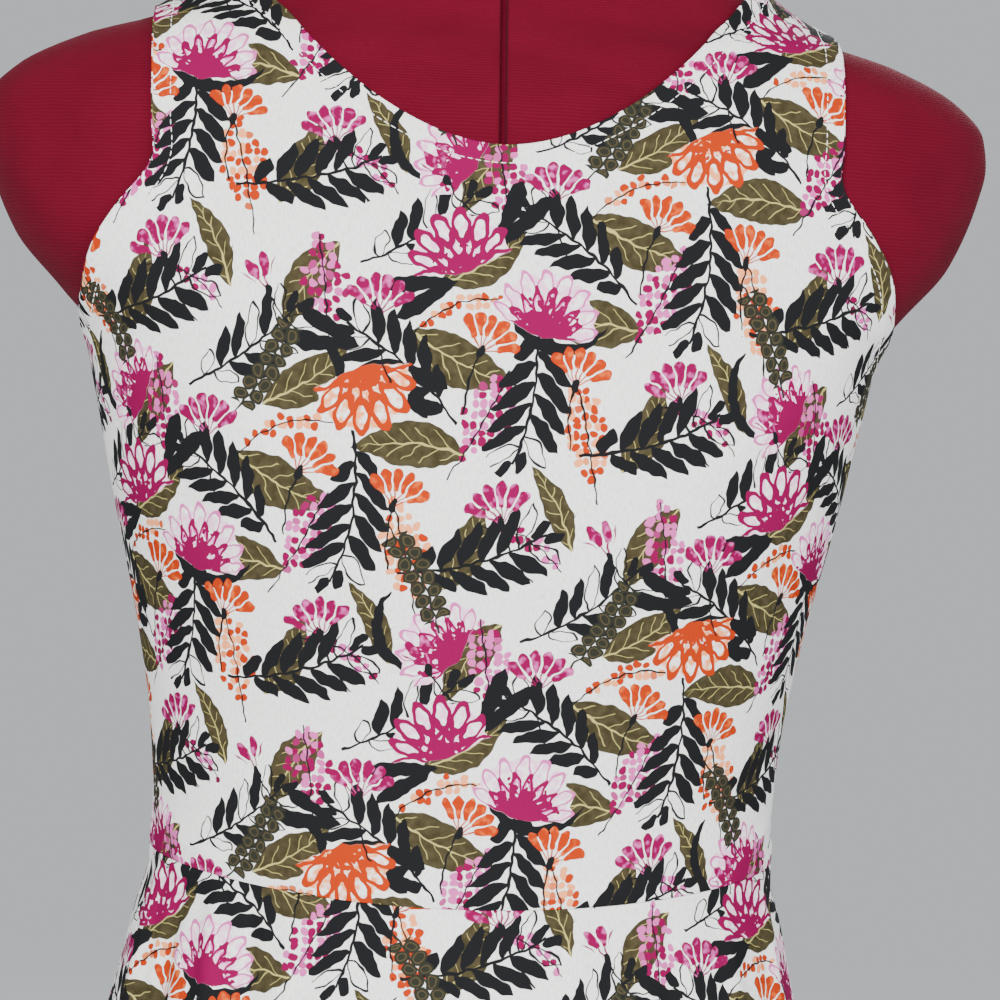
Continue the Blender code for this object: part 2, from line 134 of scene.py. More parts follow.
class ShaderTree:
    """A material's node tree, or a node group's, with the few ways this script adds to it."""

    def __init__(self, tree: bpy.types.NodeTree) -> None:
        """Wraps a tree.

        Args:
            tree: the node tree that the methods add to.
        """
        self.tree = tree

    def node(self, kind: str, settings: dict[str, object], inputs: Sockets) -> bpy.types.Node:
        """Adds a node.

        Args:
            kind: the node's type.
            settings: its properties, which are set first.
            inputs: values or signals for its sockets, by name or index.

        Returns:
            The new node.
        """
        made = self.tree.nodes.new(kind)
        for name, value in settings.items():
            setattr(made, name, value)
        self.fill(made, inputs)
        return made

    def fill(self, node: bpy.types.Node, inputs: Sockets) -> None:
        """Gives a node's sockets their values or signals.

        Args:
            node: the node.
            inputs: the values or signals, by socket name or index.
        """
        for key, value in inputs.items():
            if isinstance(value, Signal):
                self.tree.links.new(value.socket, node.inputs[key])
            elif isinstance(value, tuple) and node.inputs[key].type == "RGBA":
                node.inputs[key].default_value = (*value, 1.0)
            else:
                node.inputs[key].default_value = value

    def out(self, node: bpy.types.Node, socket: str | int = 0) -> Signal:
        """One of a node's outputs, as a signal."""
        return Signal(self, node.outputs[socket])

    def maths(self, operation: str, *values: Number) -> Signal:
        """Adds a Math node."""
        return self.out(self.node("ShaderNodeMath", {"operation": operation}, dict(enumerate(values))))

    def vectors(self, operation: str, *values: object, output: int = 0) -> Signal:
        """Adds a Vector Math node."""
        made = self.node("ShaderNodeVectorMath", {"operation": operation}, dict(enumerate(values)))
        return self.out(made, output)

    def joined(self, *parts: Number) -> Signal:
        """A vector of up to three parts."""
        return self.out(self.node("ShaderNodeCombineXYZ", {}, dict(enumerate(parts))))

    def split(self, vector: Signal) -> tuple[Signal, Signal]:
        """A vector's first two parts."""
        parts = self.node("ShaderNodeSeparateXYZ", {}, {0: vector})
        return self.out(parts, 0), self.out(parts, 1)

    def mix(self, under: object, over: object, factor: Number) -> Signal:
        """Lays one colour over another.

        Args:
            under: the colour where the factor is 0 or less.
            over: the colour where the factor is 1 or more.
            factor: how much of the second shows.

        Returns:
            The mixed colour.
        """
        settings = {"data_type": "RGBA", "clamp_factor": True}
        return self.out(self.node("ShaderNodeMix", settings, {0: factor, 6: under, 7: over}), 2)

    def choose(self, first: object, second: object, pick: Signal, vector: bool = False) -> Signal:
        """One number or vector, or where the pick is 1, another."""
        kind, socket, output = ("VECTOR", 4, 1) if vector else ("FLOAT", 2, 0)
        inputs = {0: pick, socket: first, socket + 1: second}
        return self.out(self.node("ShaderNodeMix", {"data_type": kind}, inputs), output)

    def length(self, x: Number, y: Number) -> Signal:
        """How long the vector with these two parts is."""
        return self.vectors("LENGTH", self.joined(x, y), output=1)

    def noise(
        self, at: Signal, scale: float, detail: float = 2.0, output: int = 0, solid: bool = False
    ) -> Signal:
        """Smooth noise, flat unless it is solid; output 0 is a value around 0.5 and output 1 is a colour."""
        settings = {"noise_dimensions": "3D" if solid else "2D"}
        inputs = {"Vector": at, "Scale": scale, "Detail": detail}
        return self.out(self.node("ShaderNodeTexNoise", settings, inputs), output)

    def on_map(self, name: str) -> Signal:
        """The surface's point on one of its UV maps."""
        return self.out(self.node("ShaderNodeUVMap", {"uv_map": name}, {}))

    def on_object(self) -> Signal:
        """The surface's point in the object's own axes, in metres."""
        return self.out(self.node("ShaderNodeTexCoord", {}, {}), "Object")

    def relief(self, height: Signal, strength: float) -> Signal:
        """The surface's direction once a height has raised it."""
        inputs = {"Strength": strength, "Distance": 0.3 * MM, "Height": height}
        return self.out(self.node("ShaderNodeBump", {}, inputs))


def new_group(name: str, kind: str, inputs: dict[str, str], output: tuple[str, str]) -> bpy.types.NodeTree:
    """Makes a node group that is still empty.

    Args:
        name: its name.
        kind: its tree's type.
        inputs: the kind of each of its inputs.
        output: its output's name and kind.

    Returns:
        The group.
    """
    group = bpy.data.node_groups.new(name, kind)
    for socket, of_kind in inputs.items():
        group.interface.new_socket(name=socket, in_out="INPUT", socket_type="NodeSocket" + of_kind)
    group.interface.new_socket(name=output[0], in_out="OUTPUT", socket_type="NodeSocket" + output[1])
    return group


# ------------------------------------------------------------------------------------- the floral print


@dataclass(frozen=True)
class Lattice:
    """A repeat of the print: two steps, in millimetres, that carry a drawing onto its next ones."""

    first: tuple[float, float]
    second: tuple[float, float]

    def matrix(self) -> np.ndarray:
        """The steps as the columns of a matrix."""
        return np.array([self.first, self.second]).T

    def cell(self, place: tuple[float, float]) -> np.ndarray:
        """A place in millimetres, counted in steps."""
        return np.linalg.solve(self.matrix(), np.array(place))


# Further than any drawing reaches, in millimetres.
FAR = 99.0
# The half-drop repeat, and one that comes twice as often for drawings the eye does not single out.
WHOLE = Lattice((130.0, 91.0), (-130.0, 91.0))
HALF = Lattice((65.0, 45.5), (-130.0, 91.0))


class Ink(Enum):
    """The print's inks, as linear colours."""

    GROUND = (0.83, 0.83, 0.79)
    CHARCOAL = (0.0096, 0.0099, 0.0108)
    SLATE = (0.021, 0.0215, 0.015)
    OLIVE = (0.036, 0.0295, 0.0135)
    BRONZE = (0.058, 0.047, 0.0235)
    CREAM = (0.40, 0.35, 0.12)
    MAGENTA = (0.190, 0.0022, 0.052)
    PINK = (0.56, 0.105, 0.33)
    BLUSH = (0.83, 0.47, 0.66)
    ORANGE = (0.375, 0.029, 0.0032)
    CORAL = (0.58, 0.098, 0.018)
    PEACH = (0.83, 0.30, 0.125)


class Motif:
    """A drawing that the print repeats, held as a node group that paints over the cloth's colour so far.

    Inside a group, a shape is a signal in millimetres, positive inside the shape. A group's inputs are the
    colour under it, the cloth's point and the nearest berry's middle as shares of the drawing's patch, how
    deep inside that berry the point is, the berry's tone, a soft mottle, and the drawing's sizes and inks.
    """

    title = "motif"
    points: tuple[str, ...] = ("At",)
    patch: tuple[float, float] = (20.0, 20.0)
    sizes: dict[str, float] = {}
    inks: dict[str, Ink] = {}
    crispness = 4.0

    def __init__(self) -> None:
        """Builds the node group."""
        inputs = {"Under": "Color", "At": "Vector", "Berry at": "Vector"}
        inputs |= dict.fromkeys(("Berry", "Tone", "Mottle", *self.sizes), "Float")
        inputs |= dict.fromkeys(self.inks, "Color")
        self.group = new_group(self.title, "ShaderNodeTree", inputs, ("Colour", "Color"))
        self.tree = ShaderTree(self.group)
        self.given = self.tree.node("NodeGroupInput", {}, {})
        self.tree.node("NodeGroupOutput", {}, {0: self.draw()})

    def take(self, *names: str) -> list[Signal]:
        """Some of the group's inputs."""
        return [self.tree.out(self.given, name) for name in names]

    def place(self, name: str = "At") -> tuple[Signal, Signal]:
        """One of the group's two points, in the drawing's own millimetres."""
        x, y = self.tree.split(self.tree.out(self.given, name))
        return x * self.patch[0], y * self.patch[1]

    def bent(self) -> tuple[Signal, Signal]:
        """The cloth's point, with the drawing's bend taken out of it."""
        x, y = self.place()
        return x, (x * x).times_plus(-1.0 * self.take("Bend")[0], y)

    def paint(self, under: Signal, ink: Signal, shape: Signal) -> Signal:
        """Fills a shape with an ink."""
        return self.tree.mix(under, ink, shape.times_plus(self.crispness, 0.5))

    def draw(self) -> Signal:
        """Draws the motif over the colour under it and returns the result."""
        raise NotImplementedError


class Fern(Motif):
    """A frond of paired leaflets, some of them only outlined."""

    title = "fern frond"
    patch = (37.0, 21.5)
    sizes = {"Half length": 27.0, "Leaflet": 15.5, "Pitch": 8.2, "Lean": 0.8, "Bend": 0.004, "Hollow": 0.15}
    inks = {"Ink": Ink.CHARCOAL}
    taper = 0.72
    stagger = 0.25
    fullness = 1.42
    slimness = 0.78
    foot = 0.24
    outline = 0.75
    hollow_step = 0.381
    stem_half_width = 0.62

    def draw(self) -> Signal:
        """Draws the frond along its x axis, with the tip to the right."""
        under, half, longest, pitch, lean = self.take("Under", "Half length", "Leaflet", "Pitch", "Lean")
        hollow, ink = self.take("Hollow", "Ink")
        x, y = self.bent()
        out = abs(y)
        per_pitch = 1.0 / pitch
        half_count = half * per_pitch
        leant = out.times_plus(lean * per_pitch * -1.0, x.times_plus(per_pitch, half_count))
        station = y.sign().times_plus(self.stagger, leant)
        beside = station.fraction() - 0.5
        index = station - beside
        along = index.times_plus(1.0 / half_count, -1.0)
        square = along * along
        reach = out / (square * square).times_plus(longest * -self.taper, longest)
        side = abs(beside).times_plus(pitch * -self.slimness, self.foot)
        leaflet = (reach * (1.0 - reach)).times_plus(pitch * self.fullness, side)
        solid = self.tree.maths("GREATER_THAN", (index * self.hollow_step).fraction(), hollow)
        leaflet = leaflet.least(solid.times_plus(FAR, self.outline - leaflet))
        stem = (self.stem_half_width - out).least(half + 4.0 - abs(x + 3.0))
        return self.paint(under, ink, leaflet.most(stem))


class Leaf(Motif):
    """A broad leaf with a pale midrib and side veins."""

    title = "olive leaf"
    patch = (26.0, 12.0)
    sizes = {"Half length": 21.0, "Half width": 8.4, "Bend": 0.006}
    inks = {"Ink": Ink.OLIVE, "Light": Ink.BRONZE, "Vein": Ink.CREAM}
    vein_pitch = 6.6
    vein_slope = 1.15
    vein_half_width = 0.13
    rib_half_width = 0.27
    belly_shift = 0.28

    def draw(self) -> Signal:
        """Draws the leaf along its x axis, with the tip to the right."""
        under, mottle, half, wide = self.take("Under", "Mottle", "Half length", "Half width")
        ink, light, vein_ink = self.take("Ink", "Light", "Vein")
        x, y = self.bent()
        out = abs(y)
        along = x / half
        belly = (1.0 - along * along) * along.times_plus(wide * -self.belly_shift, wide)
        leaf = (belly - out).least(half - abs(x))
        rib = along.times_plus(-0.20, self.rib_half_width) - out
        slanted = y.sign().times_plus(0.18, (x - out * self.vein_slope) * (1.0 / self.vein_pitch))
        vein = abs(slanted.fraction() - 0.5).times_plus(self.vein_pitch * -0.66, self.vein_half_width)
        vein = vein.least(belly.times_plus(0.74, -1.0 * out))
        veins = rib.most(vein).least(0.74 - along)
        body = self.paint(self.tree.mix(ink, light, mottle), vein_ink, veins)
        return self.paint(under, body, leaf)


class Lobes(Motif):
    """A dark leaf split into two blunt lobes."""

    title = "two-lobed leaf"
    patch = (19.0, 13.0)
    sizes = {"Half length": 13.0, "Half width": 3.9, "Spread": 0.24}
    inks = {"Ink": Ink.CHARCOAL}
    middle_width = 0.72
    widening = 0.32

    def draw(self) -> Signal:
        """Draws both lobes from a shared foot at the left."""
        under, half, wide, spread, ink = self.take("Under", "Half length", "Half width", "Spread", "Ink")
        x, y = self.place()
        foot = x + half
        side = abs(y)
        across = abs(side - foot * spread)
        along = side.times_plus(spread, foot) / half - 1.0
        square = along * along
        widths = along.times_plus(wide * self.widening, wide * self.middle_width)
        lobe = (1.0 - square * square) * widths - across
        return self.paint(under, ink, lobe.least(half + 1.0 - abs(x)))


class Sweep(Motif):
    """A dark brush stroke along an arc, thickest in its middle."""

    title = "brush sweep"
    patch = (26.0, 16.0)
    sizes = {"Radius": 21.0, "Half angle": 1.15, "Half width": 2.4}
    inks = {"Ink": Ink.CHARCOAL}

    def draw(self) -> Signal:
        """Draws the stroke, with its middle at the drawing's centre and its hollow side up."""
        under, radius, angle, wide, ink = self.take("Under", "Radius", "Half angle", "Half width", "Ink")
        x, y = self.place()
        up = radius - y
        turn = self.tree.maths("ARCTAN2", x, up) / angle
        stroke = (turn * turn).times_plus(-1.0 * wide, wide) - abs(self.tree.length(x, up) - radius)
        return self.paint(under, ink, stroke)


class Protea(Motif):
    """A bowl of looped petals around a solid heart, with a soft wash behind them."""

    title = "protea"
    patch = (21.0, 19.0)
    sizes = {"Reach": 25.0, "Petals": 2.9, "Heart": 0.30, "Inner line": 1.1, "Outer line": 0.62}
    inks = {"Wash": Ink.BLUSH, "Outer": Ink.PINK, "Inner": Ink.MAGENTA}
    foot = 12.0
    opening = 1.36
    edge = 20.0
    loop = 0.86
    outer_ring = (0.73, 0.27)
    inner_ring = (0.47, 0.25)

    def loops(self, turn: Signal, far: Signal, middle: float, half: float, line: Signal) -> Signal:
        """One ring of petal outlines.

        Args:
            turn: the angle from straight up, counted in petals.
            far: the distance from the flower's foot, as a share of its reach.
            middle: where along the reach the petals' middles are.
            half: half a petal's length, as a share of the reach.
            line: half the outline's width.

        Returns:
            The outlines.
        """
        across = (turn.fraction() - 0.5) * far * (2.2 / middle)
        along = far.times_plus(1.0 / half, -middle / half)
        return abs(self.tree.length(across, along) - self.loop).times_plus(half * -self.edge, line)

    def draw(self) -> Signal:
        """Draws the flower upright."""
        under, mottle, reach, petals, heart = self.take("Under", "Mottle", "Reach", "Petals", "Heart")
        inner_line, outer_line = self.take("Inner line", "Outer line")
        wash_ink, outer_ink, inner_ink = self.take("Wash", "Outer", "Inner")
        x, y = self.place()
        y = y + self.foot
        angle = self.tree.maths("ARCTAN2", x, y)
        bow = angle * angle
        far = bow.times_plus(0.12, self.tree.length(x, y) / reach)
        turn = angle * petals
        cup = (self.opening - abs(angle)) * 8.0
        scallop = abs(turn.fraction() - 0.5)
        wash = (scallop.times_plus(-0.16, 0.98) - far) * self.edge
        outer = self.loops(turn, far, *self.outer_ring, outer_line)
        inner = self.loops(turn + 0.5, far, *self.inner_ring, inner_line)
        middle = (mottle.times_plus(0.34, bow.times_plus(0.10, heart)) - far) * self.edge
        soft = self.tree.mix(wash_ink, Ink.GROUND.value, mottle.times_plus(1.9, -0.50))
        colour = self.paint(under, soft, wash.least(cup))
        colour = self.paint(colour, outer_ink, outer.least(cup))
        return self.paint(colour, inner_ink, inner.most(middle).least(cup))


class Bloom(Motif):
    """A small fan of petals on thin claws, a dark calyx and a thin stem: a carnation or a tulip."""

    title = "small bloom"
    patch = (17.0, 27.0)
    sizes = {"Reach": 15.5, "Petals": 2.7, "Spread": 1.08, "Tip": 0.27, "Stem": 24.0, "Sway": 0.012}
    inks = {"Petal": Ink.MAGENTA, "Shade": Ink.PINK, "Green": Ink.CHARCOAL}
    claw_half_width = 0.26
    stem_half_width = 0.42
    calyx_radius = 1.9

    def draw(self) -> Signal:
        """Draws the flower upright, with its calyx at the centre."""
        under, mottle, reach, petals = self.take("Under", "Mottle", "Reach", "Petals")
        spread, tip, stem_length, sway = self.take("Spread", "Tip", "Stem", "Sway")
        petal_ink, shade, green = self.take("Petal", "Shade", "Green")
        x, y = self.place()
        angle = self.tree.maths("ARCTAN2", x, y)
        far = self.tree.length(x, y)
        beside = abs((angle * petals).fraction() - 0.5)
        rim = (beside * beside).times_plus(reach * tip * tip * -8.8, reach) - far
        blade = ((0.57 - beside) * far - 1.6).least(far.times_plus(1.0, reach * -0.40))
        claw = (far * beside).times_plus(-0.34, self.claw_half_width)
        fan = rim.least(blade.most(claw)).least((spread - abs(angle)) * 7.0)
        stem = self.stem_half_width - abs((y * y).times_plus(-1.0 * sway, x))
        stem = stem.least(-1.0 * y).least(stem_length + y)
        calyx = self.calyx_radius - self.tree.length(x * 1.26, y * 0.65)
        petal = self.tree.mix(petal_ink, shade, mottle.times_plus(1.8, -0.9))
        return self.paint(self.paint(under, petal, fan), green, stem.most(calyx))


class Berries(Motif):
    """Round berries of two tones, scattered along a bent stem with a thin dark line through it."""

    title = "berry spray"
    points = ("At", "Berry at")
    patch = (27.0, 13.0)
    sizes = {"Half length": 20.0, "Half width": 9.0, "Bend": 0.002, "Tail": 5.0}
    inks = {"Dark": Ink.MAGENTA, "Light": Ink.PINK, "Stem": Ink.CHARCOAL}
    stem_half_width = 0.34
    raggedness = 0.7

    def draw(self) -> Signal:
        """Draws the spray along its x axis."""
        under, berry, tone, half, wide = self.take("Under", "Berry", "Tone", "Half length", "Half width")
        bend, tail, dark, light, stem_ink = self.take("Bend", "Tail", "Dark", "Light", "Stem")
        x, y = self.bent()
        middle_x, middle_y = self.place("Berry at")
        along = middle_x / half
        across = abs((middle_x * middle_x).times_plus(-1.0 * bend, middle_y))
        room = (along * along).times_plus(-1.0 * wide, wide) - across
        kept = self.tree.maths("GREATER_THAN", room, tone * self.raggedness)
        ink = self.tree.mix(dark, light, along.times_plus(2.0, tone.times_plus(8.0, -3.6)))
        colour = self.paint(under, ink, kept.times_plus(9.0, berry - 9.0))
        stem = (self.stem_half_width - abs(y)).least(half - 2.0 + tail - abs(x + tail))
        return self.paint(colour, stem_ink, stem)


class Beads(Motif):
    """A sprig of round dark leaves in pairs, each with a paler edge."""

    title = "bead sprig"
    patch = (24.0, 11.0)
    sizes = {"Half length": 17.0, "Pitch": 5.0, "Bead": 2.8, "Bend": 0.006}
    inks = {"Ink": Ink.SLATE, "Edge": Ink.BRONZE}
    ring_depth = 1.1
    ring_half_width = 0.26
    stem_half_width = 0.4

    def draw(self) -> Signal:
        """Draws the sprig along its x axis."""
        under, half, pitch, bead = self.take("Under", "Half length", "Pitch", "Bead")
        ink, edge = self.take("Ink", "Edge")
        x, y = self.bent()
        out = abs(y)
        beside = (y.sign().times_plus(0.22, x / pitch).fraction() - 0.5) * (pitch * 1.07)
        inside = half - abs(x)
        leaf = (bead - self.tree.length(beside, out - bead * 0.95)).least(inside)
        body = self.paint(edge, ink, abs(leaf - self.ring_depth) - self.ring_half_width)
        stem = (self.stem_half_width - out).least(inside + 5.0)
        return self.paint(self.paint(under, body, leaf), ink, stem)


@dataclass(frozen=True)
class Placed:
    """Where one drawing of the repeat is, in millimetres and degrees, and what is its own about it."""

    x: float
    y: float
    turn: float
    scale: float = 1.0
    sizes: dict[str, float] = field(default_factory=dict)
    inks: dict[str, Ink] = field(default_factory=dict)


@dataclass(frozen=True)
class Layer:
    """Drawings of one kind that keep clear of each other, so that one node group draws them all."""

    motif: type[Motif]
    rows: tuple[Placed, ...]
    lattice: Lattice = WHOLE


ORANGE_BERRIES = {"Dark": Ink.ORANGE, "Light": Ink.PEACH}
ORANGE_BLOOM = {"Petal": Ink.ORANGE, "Shade": Ink.CORAL}
OPEN_PROTEA = {"Outer": Ink.MAGENTA}
ORANGE_PROTEA = {"Wash": Ink.PEACH, "Outer": Ink.ORANGE, "Inner": Ink.ORANGE}
TULIP = {"Petals": 2.0, "Spread": 0.62, "Tip": 0.45, "Stem": 14.0}
BOLD = {"Petals": 2.5, "Outer line": 1.25, "Heart": 0.18}
ARCHED = {"Half width": 3.8, "Bend": -0.014}

# Columns: x and y in millimetres, turn in degrees, scale, its own sizes, its own inks. Within a layer the
# plainest drawings come first, so that the later ones' differences are asked about least often.
REPEAT = (
    Layer(
        Leaf,
        (
            Placed(33.0, -13.0, 178.0, 1.0),
            Placed(-5.0, 8.0, 33.0, 0.90),
            Placed(-7.0, 43.0, 238.0, 0.90),
            Placed(-14.0, -30.0, 335.0, 1.05),
            Placed(56.0, -51.0, 66.0, 0.85),
            Placed(-42.0, 57.0, 118.0, 0.85, {"Half width": 5.6}),
        ),
        HALF,
    ),
    Layer(
        Berries,
        (
            Placed(61.0, -2.0, 62.0, 0.98),
            Placed(0.0, 43.0, 98.0, 0.95),
            Placed(33.0, -52.0, 104.0, 1.0, {}, ORANGE_BERRIES),
            Placed(-13.0, -7.0, 16.0, 0.95, ARCHED, ORANGE_BERRIES),
            Placed(-51.0, 44.0, 330.0, 0.90, ARCHED),
        ),
        HALF,
    ),
    Layer(
        Fern,
        (
            Placed(-69.0, 36.0, 18.0, 0.92),
            Placed(29.0, 16.0, 142.0, 0.88),
            Placed(13.0, -40.0, 262.0, 0.92, {"Bend": -0.005}),
            Placed(-27.0, 19.0, 36.0, 0.84, {"Hollow": 0.42}),
        ),
        HALF,
    ),
    Layer(
        Sweep,
        (
            Placed(19.0, -23.0, -10.0, 1.0),
            Placed(-40.0, 50.0, 290.0, 0.9),
            Placed(70.0, 62.0, 120.0, 0.8),
        ),
    ),
    Layer(
        Lobes,
        (
            Placed(6.0, 26.0, 58.0, 1.1),
            Placed(-29.0, -4.0, 200.0, 1.05),
            Placed(98.0, 54.0, -35.0, 1.05),
            Placed(66.0, 70.0, 165.0, 1.0),
        ),
    ),
    Layer(
        Protea,
        (
            Placed(18.0, -7.0, -14.0, 1.06),
            Placed(-20.0, 50.0, 58.0, 1.0),
            Placed(-17.0, 15.0, 18.0, 1.0, BOLD, OPEN_PROTEA),
            Placed(82.0, 48.0, 196.0, 0.98, BOLD, ORANGE_PROTEA),
        ),
    ),
    Layer(
        Beads,
        (
            Placed(45.0, 58.0, 58.0, 1.0),
            Placed(104.0, -16.0, 118.0, 1.05),
        ),
    ),
    Layer(
        Bloom,
        (
            Placed(68.0, -41.0, 14.0, 1.0),
            Placed(-45.0, -13.0, -4.0, 1.0),
            Placed(28.0, -36.0, -18.0, 0.92, {}, ORANGE_BLOOM),
            Placed(-7.0, -25.0, -30.0, 0.95, {}, ORANGE_BLOOM),
            Placed(-21.0, 39.0, 26.0, 0.90, TULIP),
        ),
        HALF,
    ),
)


class FloralPrint:
    """The all-over print: a ground, then the repeat's layers laid on it one after another."""

    map_name = "Print"
    berry_radius = 1.5
    berry_spacing = 3.2
    berry_scatter = 0.5
    wobble = (1.6, 1.6, 0.0)

    def __init__(self) -> None:
        """Starts with no drawing built."""
        self.built: dict[type[Motif], Motif] = {}

    def colour(self, tree: ShaderTree, ground: object) -> Signal:
        """Adds the print to a material.

        Args:
            tree: the material's tree.
            ground: the cloth's own colour.

        Returns:
            The printed colour.
        """
        at = tree.on_map(self.map_name)
        stray = tree.vectors("SUBTRACT", tree.noise(at, 0.24, 0.0, output=1), (0.5, 0.5, 0.5))
        hand = tree.vectors("MULTIPLY_ADD", stray, self.wobble, at)
        settings = {"voronoi_dimensions": "2D", "feature": "F1"}
        inputs = {"Vector": hand, "Scale": 1.0 / self.berry_spacing, "Randomness": self.berry_scatter}
        berries = tree.node("ShaderNodeTexVoronoi", settings, inputs)
        parts = tree.node("ShaderNodeSeparateColor", {}, {0: tree.out(berries, "Color")})
        points = {"At": hand, "Berry at": tree.out(berries, "Position")}
        cells = {
            lattice: {name: self.in_cells(tree, point, lattice) for name, point in points.items()}
            for lattice in (WHOLE, HALF)
        }
        shared = {
            "Berry": tree.out(berries, "Distance").times_plus(-self.berry_spacing, self.berry_radius),
            "Tone": tree.out(parts, 0),
            "Mottle": tree.noise(at, 0.30, 1.0).times_plus(2.2, -0.6),
        }
        colour = ground
        for layer in REPEAT:
            colour = self.lay(tree, layer, colour, cells[layer.lattice], shared)
        return colour

    def in_cells(self, tree: ShaderTree, at: Signal, lattice: Lattice) -> Signal:
        """A point in millimetres, counted in a lattice's steps."""
        rows = np.linalg.inv(lattice.matrix())
        return tree.joined(*(tree.vectors("DOT_PRODUCT", at, (*row, 0.0), output=1) for row in rows))

    def local(self, tree: ShaderTree, row: Placed, layer: Layer, cell: Signal) -> Signal:
        """A point in a drawing's own axes.

        Args:
            tree: the material's tree.
            row: where the drawing is.
            layer: the layer it belongs to.
            cell: the point, counted in the steps of the layer's lattice.

        Returns:
            The point from the drawing's nearest repeat, as shares of its patch's half axes.
        """
        turn = math.radians(row.turn)
        axes = np.array([[math.cos(turn), math.sin(turn)], [-math.sin(turn), math.cos(turn)]]) / row.scale
        axes = axes @ layer.lattice.matrix() / np.array(layer.motif.patch)[:, None]
        away = tree.vectors("SUBTRACT", cell, (*layer.lattice.cell((row.x, row.y)), 0.0))
        near = tree.vectors("WRAP", away, (0.5, 0.5, 0.5), (-0.5, -0.5, -0.5))
        return tree.joined(*(tree.vectors("DOT_PRODUCT", near, (*axis, 0.0), output=1) for axis in axes))

    def lay(
        self,
        tree: ShaderTree,
        layer: Layer,
        under: object,
        cells: dict[str, Signal],
        shared: dict[str, Signal],
    ) -> Signal:
        """Lays one layer's drawings over the colour so far.

        Args:
            tree: the material's tree.
            layer: the drawings.
            under: the colour so far.
            cells: the drawings' points, counted in the steps of the layer's lattice.
            shared: the signals that every drawing takes.

        Returns:
            The colour with the drawings on it.
        """
        if layer.motif not in self.built:
            self.built[layer.motif] = layer.motif()
        motif = self.built[layer.motif]
        chosen: dict[str, object] = {}
        for row in layer.rows:
            given = {name: self.local(tree, row, layer, cells[name]) for name in motif.points}
            given |= motif.sizes | row.sizes
            given |= {name: ink.value for name, ink in (motif.inks | row.inks).items()}
            if not chosen:
                chosen = given
                continue
            inside = tree.maths("LESS_THAN", tree.vectors("LENGTH", given["At"], output=1), 1.0)
            for name, value in given.items():
                chosen[name] = self.pick(tree, chosen[name], value, inside)
        inputs = {"Under": under, **shared, **chosen}
        return tree.out(tree.node("ShaderNodeGroup", {"node_tree": motif.group}, inputs))

    def pick(self, tree: ShaderTree, first: object, second: object, inside: Signal) -> object:
        """Chooses between two values.

        Args:
            tree: the material's tree.
            first: a number, colour or point.
            second: another of its kind.
            inside: 1 where the second is to be had, and 0 elsewhere.

        Returns:
            The chosen value; two equal ones need no node.
        """
        if first == second:
            return first
        if isinstance(second, tuple):
            return tree.mix(first, second, inside)
        return tree.choose(first, second, inside, vector=isinstance(second, Signal))


# ------------------------------------------------------------------------------------------- the shapes

# Heights above the floor.
WAIST_Z = 0.725
HEM_Z = WAIST_Z - 0.485
UNDERARM_Z = WAIST_Z + 0.212
SHOULDER_TIP_Z = WAIST_Z + 0.337
NECK_POINT_Z = WAIST_Z + 0.3565
FORM_BOTTOM_Z = WAIST_Z - 0.215
NECK_TOP_Z = WAIST_Z + 0.430

# The cut of the bodice.
NECK_HALF_WIDTH = 0.0998
STRAP_OUTER_X = 0.1310
STRAP_LEAN = 0.05
NECK_CURVE = 1.9
ARMHOLE_CURVE = 2.3
STRAP_BLEND = 0.25
WAIST_RISE = 0.006
SIDE_FOOT_Z = WAIST_Z + WAIST_RISE
WAIST_DIP_TURN = 75.0
COLUMNS_EVEN_FROM = 0.35
COLUMNS_EVEN_OVER = 0.50
SHOULDER_SEARCH = 0.02

# The cloth and its clearances. It lies outside the form, so its level lengths grow by the form's curvature.
EASE = 0.0026
SEAM_GAP = 0.0003
WAIST_GAP = 0.0006
FORM_CURVATURE = 8.0

# Columns: height above the waist, half-width, depth in front, depth behind, squareness.
FORM_SECTIONS = (
    (-0.215, 0.1520, 0.1030, 0.1100, 2.20),
    (-0.160, 0.1540, 0.1040, 0.1120, 2.20),
    (-0.100, 0.1445, 0.0990, 0.1030, 2.20),
    (-0.037, 0.1290, 0.0910, 0.0880, 2.15),
    (0.000, 0.1225, 0.0865, 0.0810, 2.10),
    (0.025, 0.1212, 0.0860, 0.0790, 2.10),
    (0.059, 0.1235, 0.0890, 0.0810, 2.15),
    (0.099, 0.1300, 0.0970, 0.0850, 2.25),
    (0.147, 0.1405, 0.1070, 0.0900, 2.35),
    (0.187, 0.1485, 0.1090, 0.0930, 2.40),
    (0.211, 0.1545, 0.1050, 0.0935, 2.35),
    (0.225, 0.1660, 0.1015, 0.0935, 2.30),
    (0.247, 0.1850, 0.0950, 0.0930, 2.25),
    (0.275, 0.1965, 0.0850, 0.0900, 2.20),
    (0.287, 0.1990, 0.0800, 0.0870, 2.20),
    (0.299, 0.1975, 0.0745, 0.0825, 2.20),
    (0.312, 0.1860, 0.0690, 0.0770, 2.20),
    (0.325, 0.1600, 0.0635, 0.0710, 2.20),
    (0.3335, 0.1320, 0.0595, 0.0670, 2.15),
    (0.354, 0.0985, 0.0555, 0.0620, 2.10),
    (0.365, 0.0800, 0.0540, 0.0600, 2.05),
    (0.378, 0.0660, 0.0530, 0.0580, 2.00),
    (0.395, 0.0590, 0.0520, 0.0560, 2.00),
    (0.430, 0.0560, 0.0520, 0.0550, 2.00),
)
SKIRT_SECTIONS = (
    (-0.485, 0.2330, 0.1790, 0.1840, 2.00),
    (-0.300, 0.1990, 0.1480, 0.1530, 2.02),
    (-0.100, 0.1505, 0.1080, 0.1120, 2.08),
    (-0.053, 0.1370, 0.0990, 0.1000, 2.10),
    (-0.020, 0.1294, 0.0925, 0.0900, 2.10),
    (0.000, 0.1245, 0.0885, 0.0830, 2.10),
)
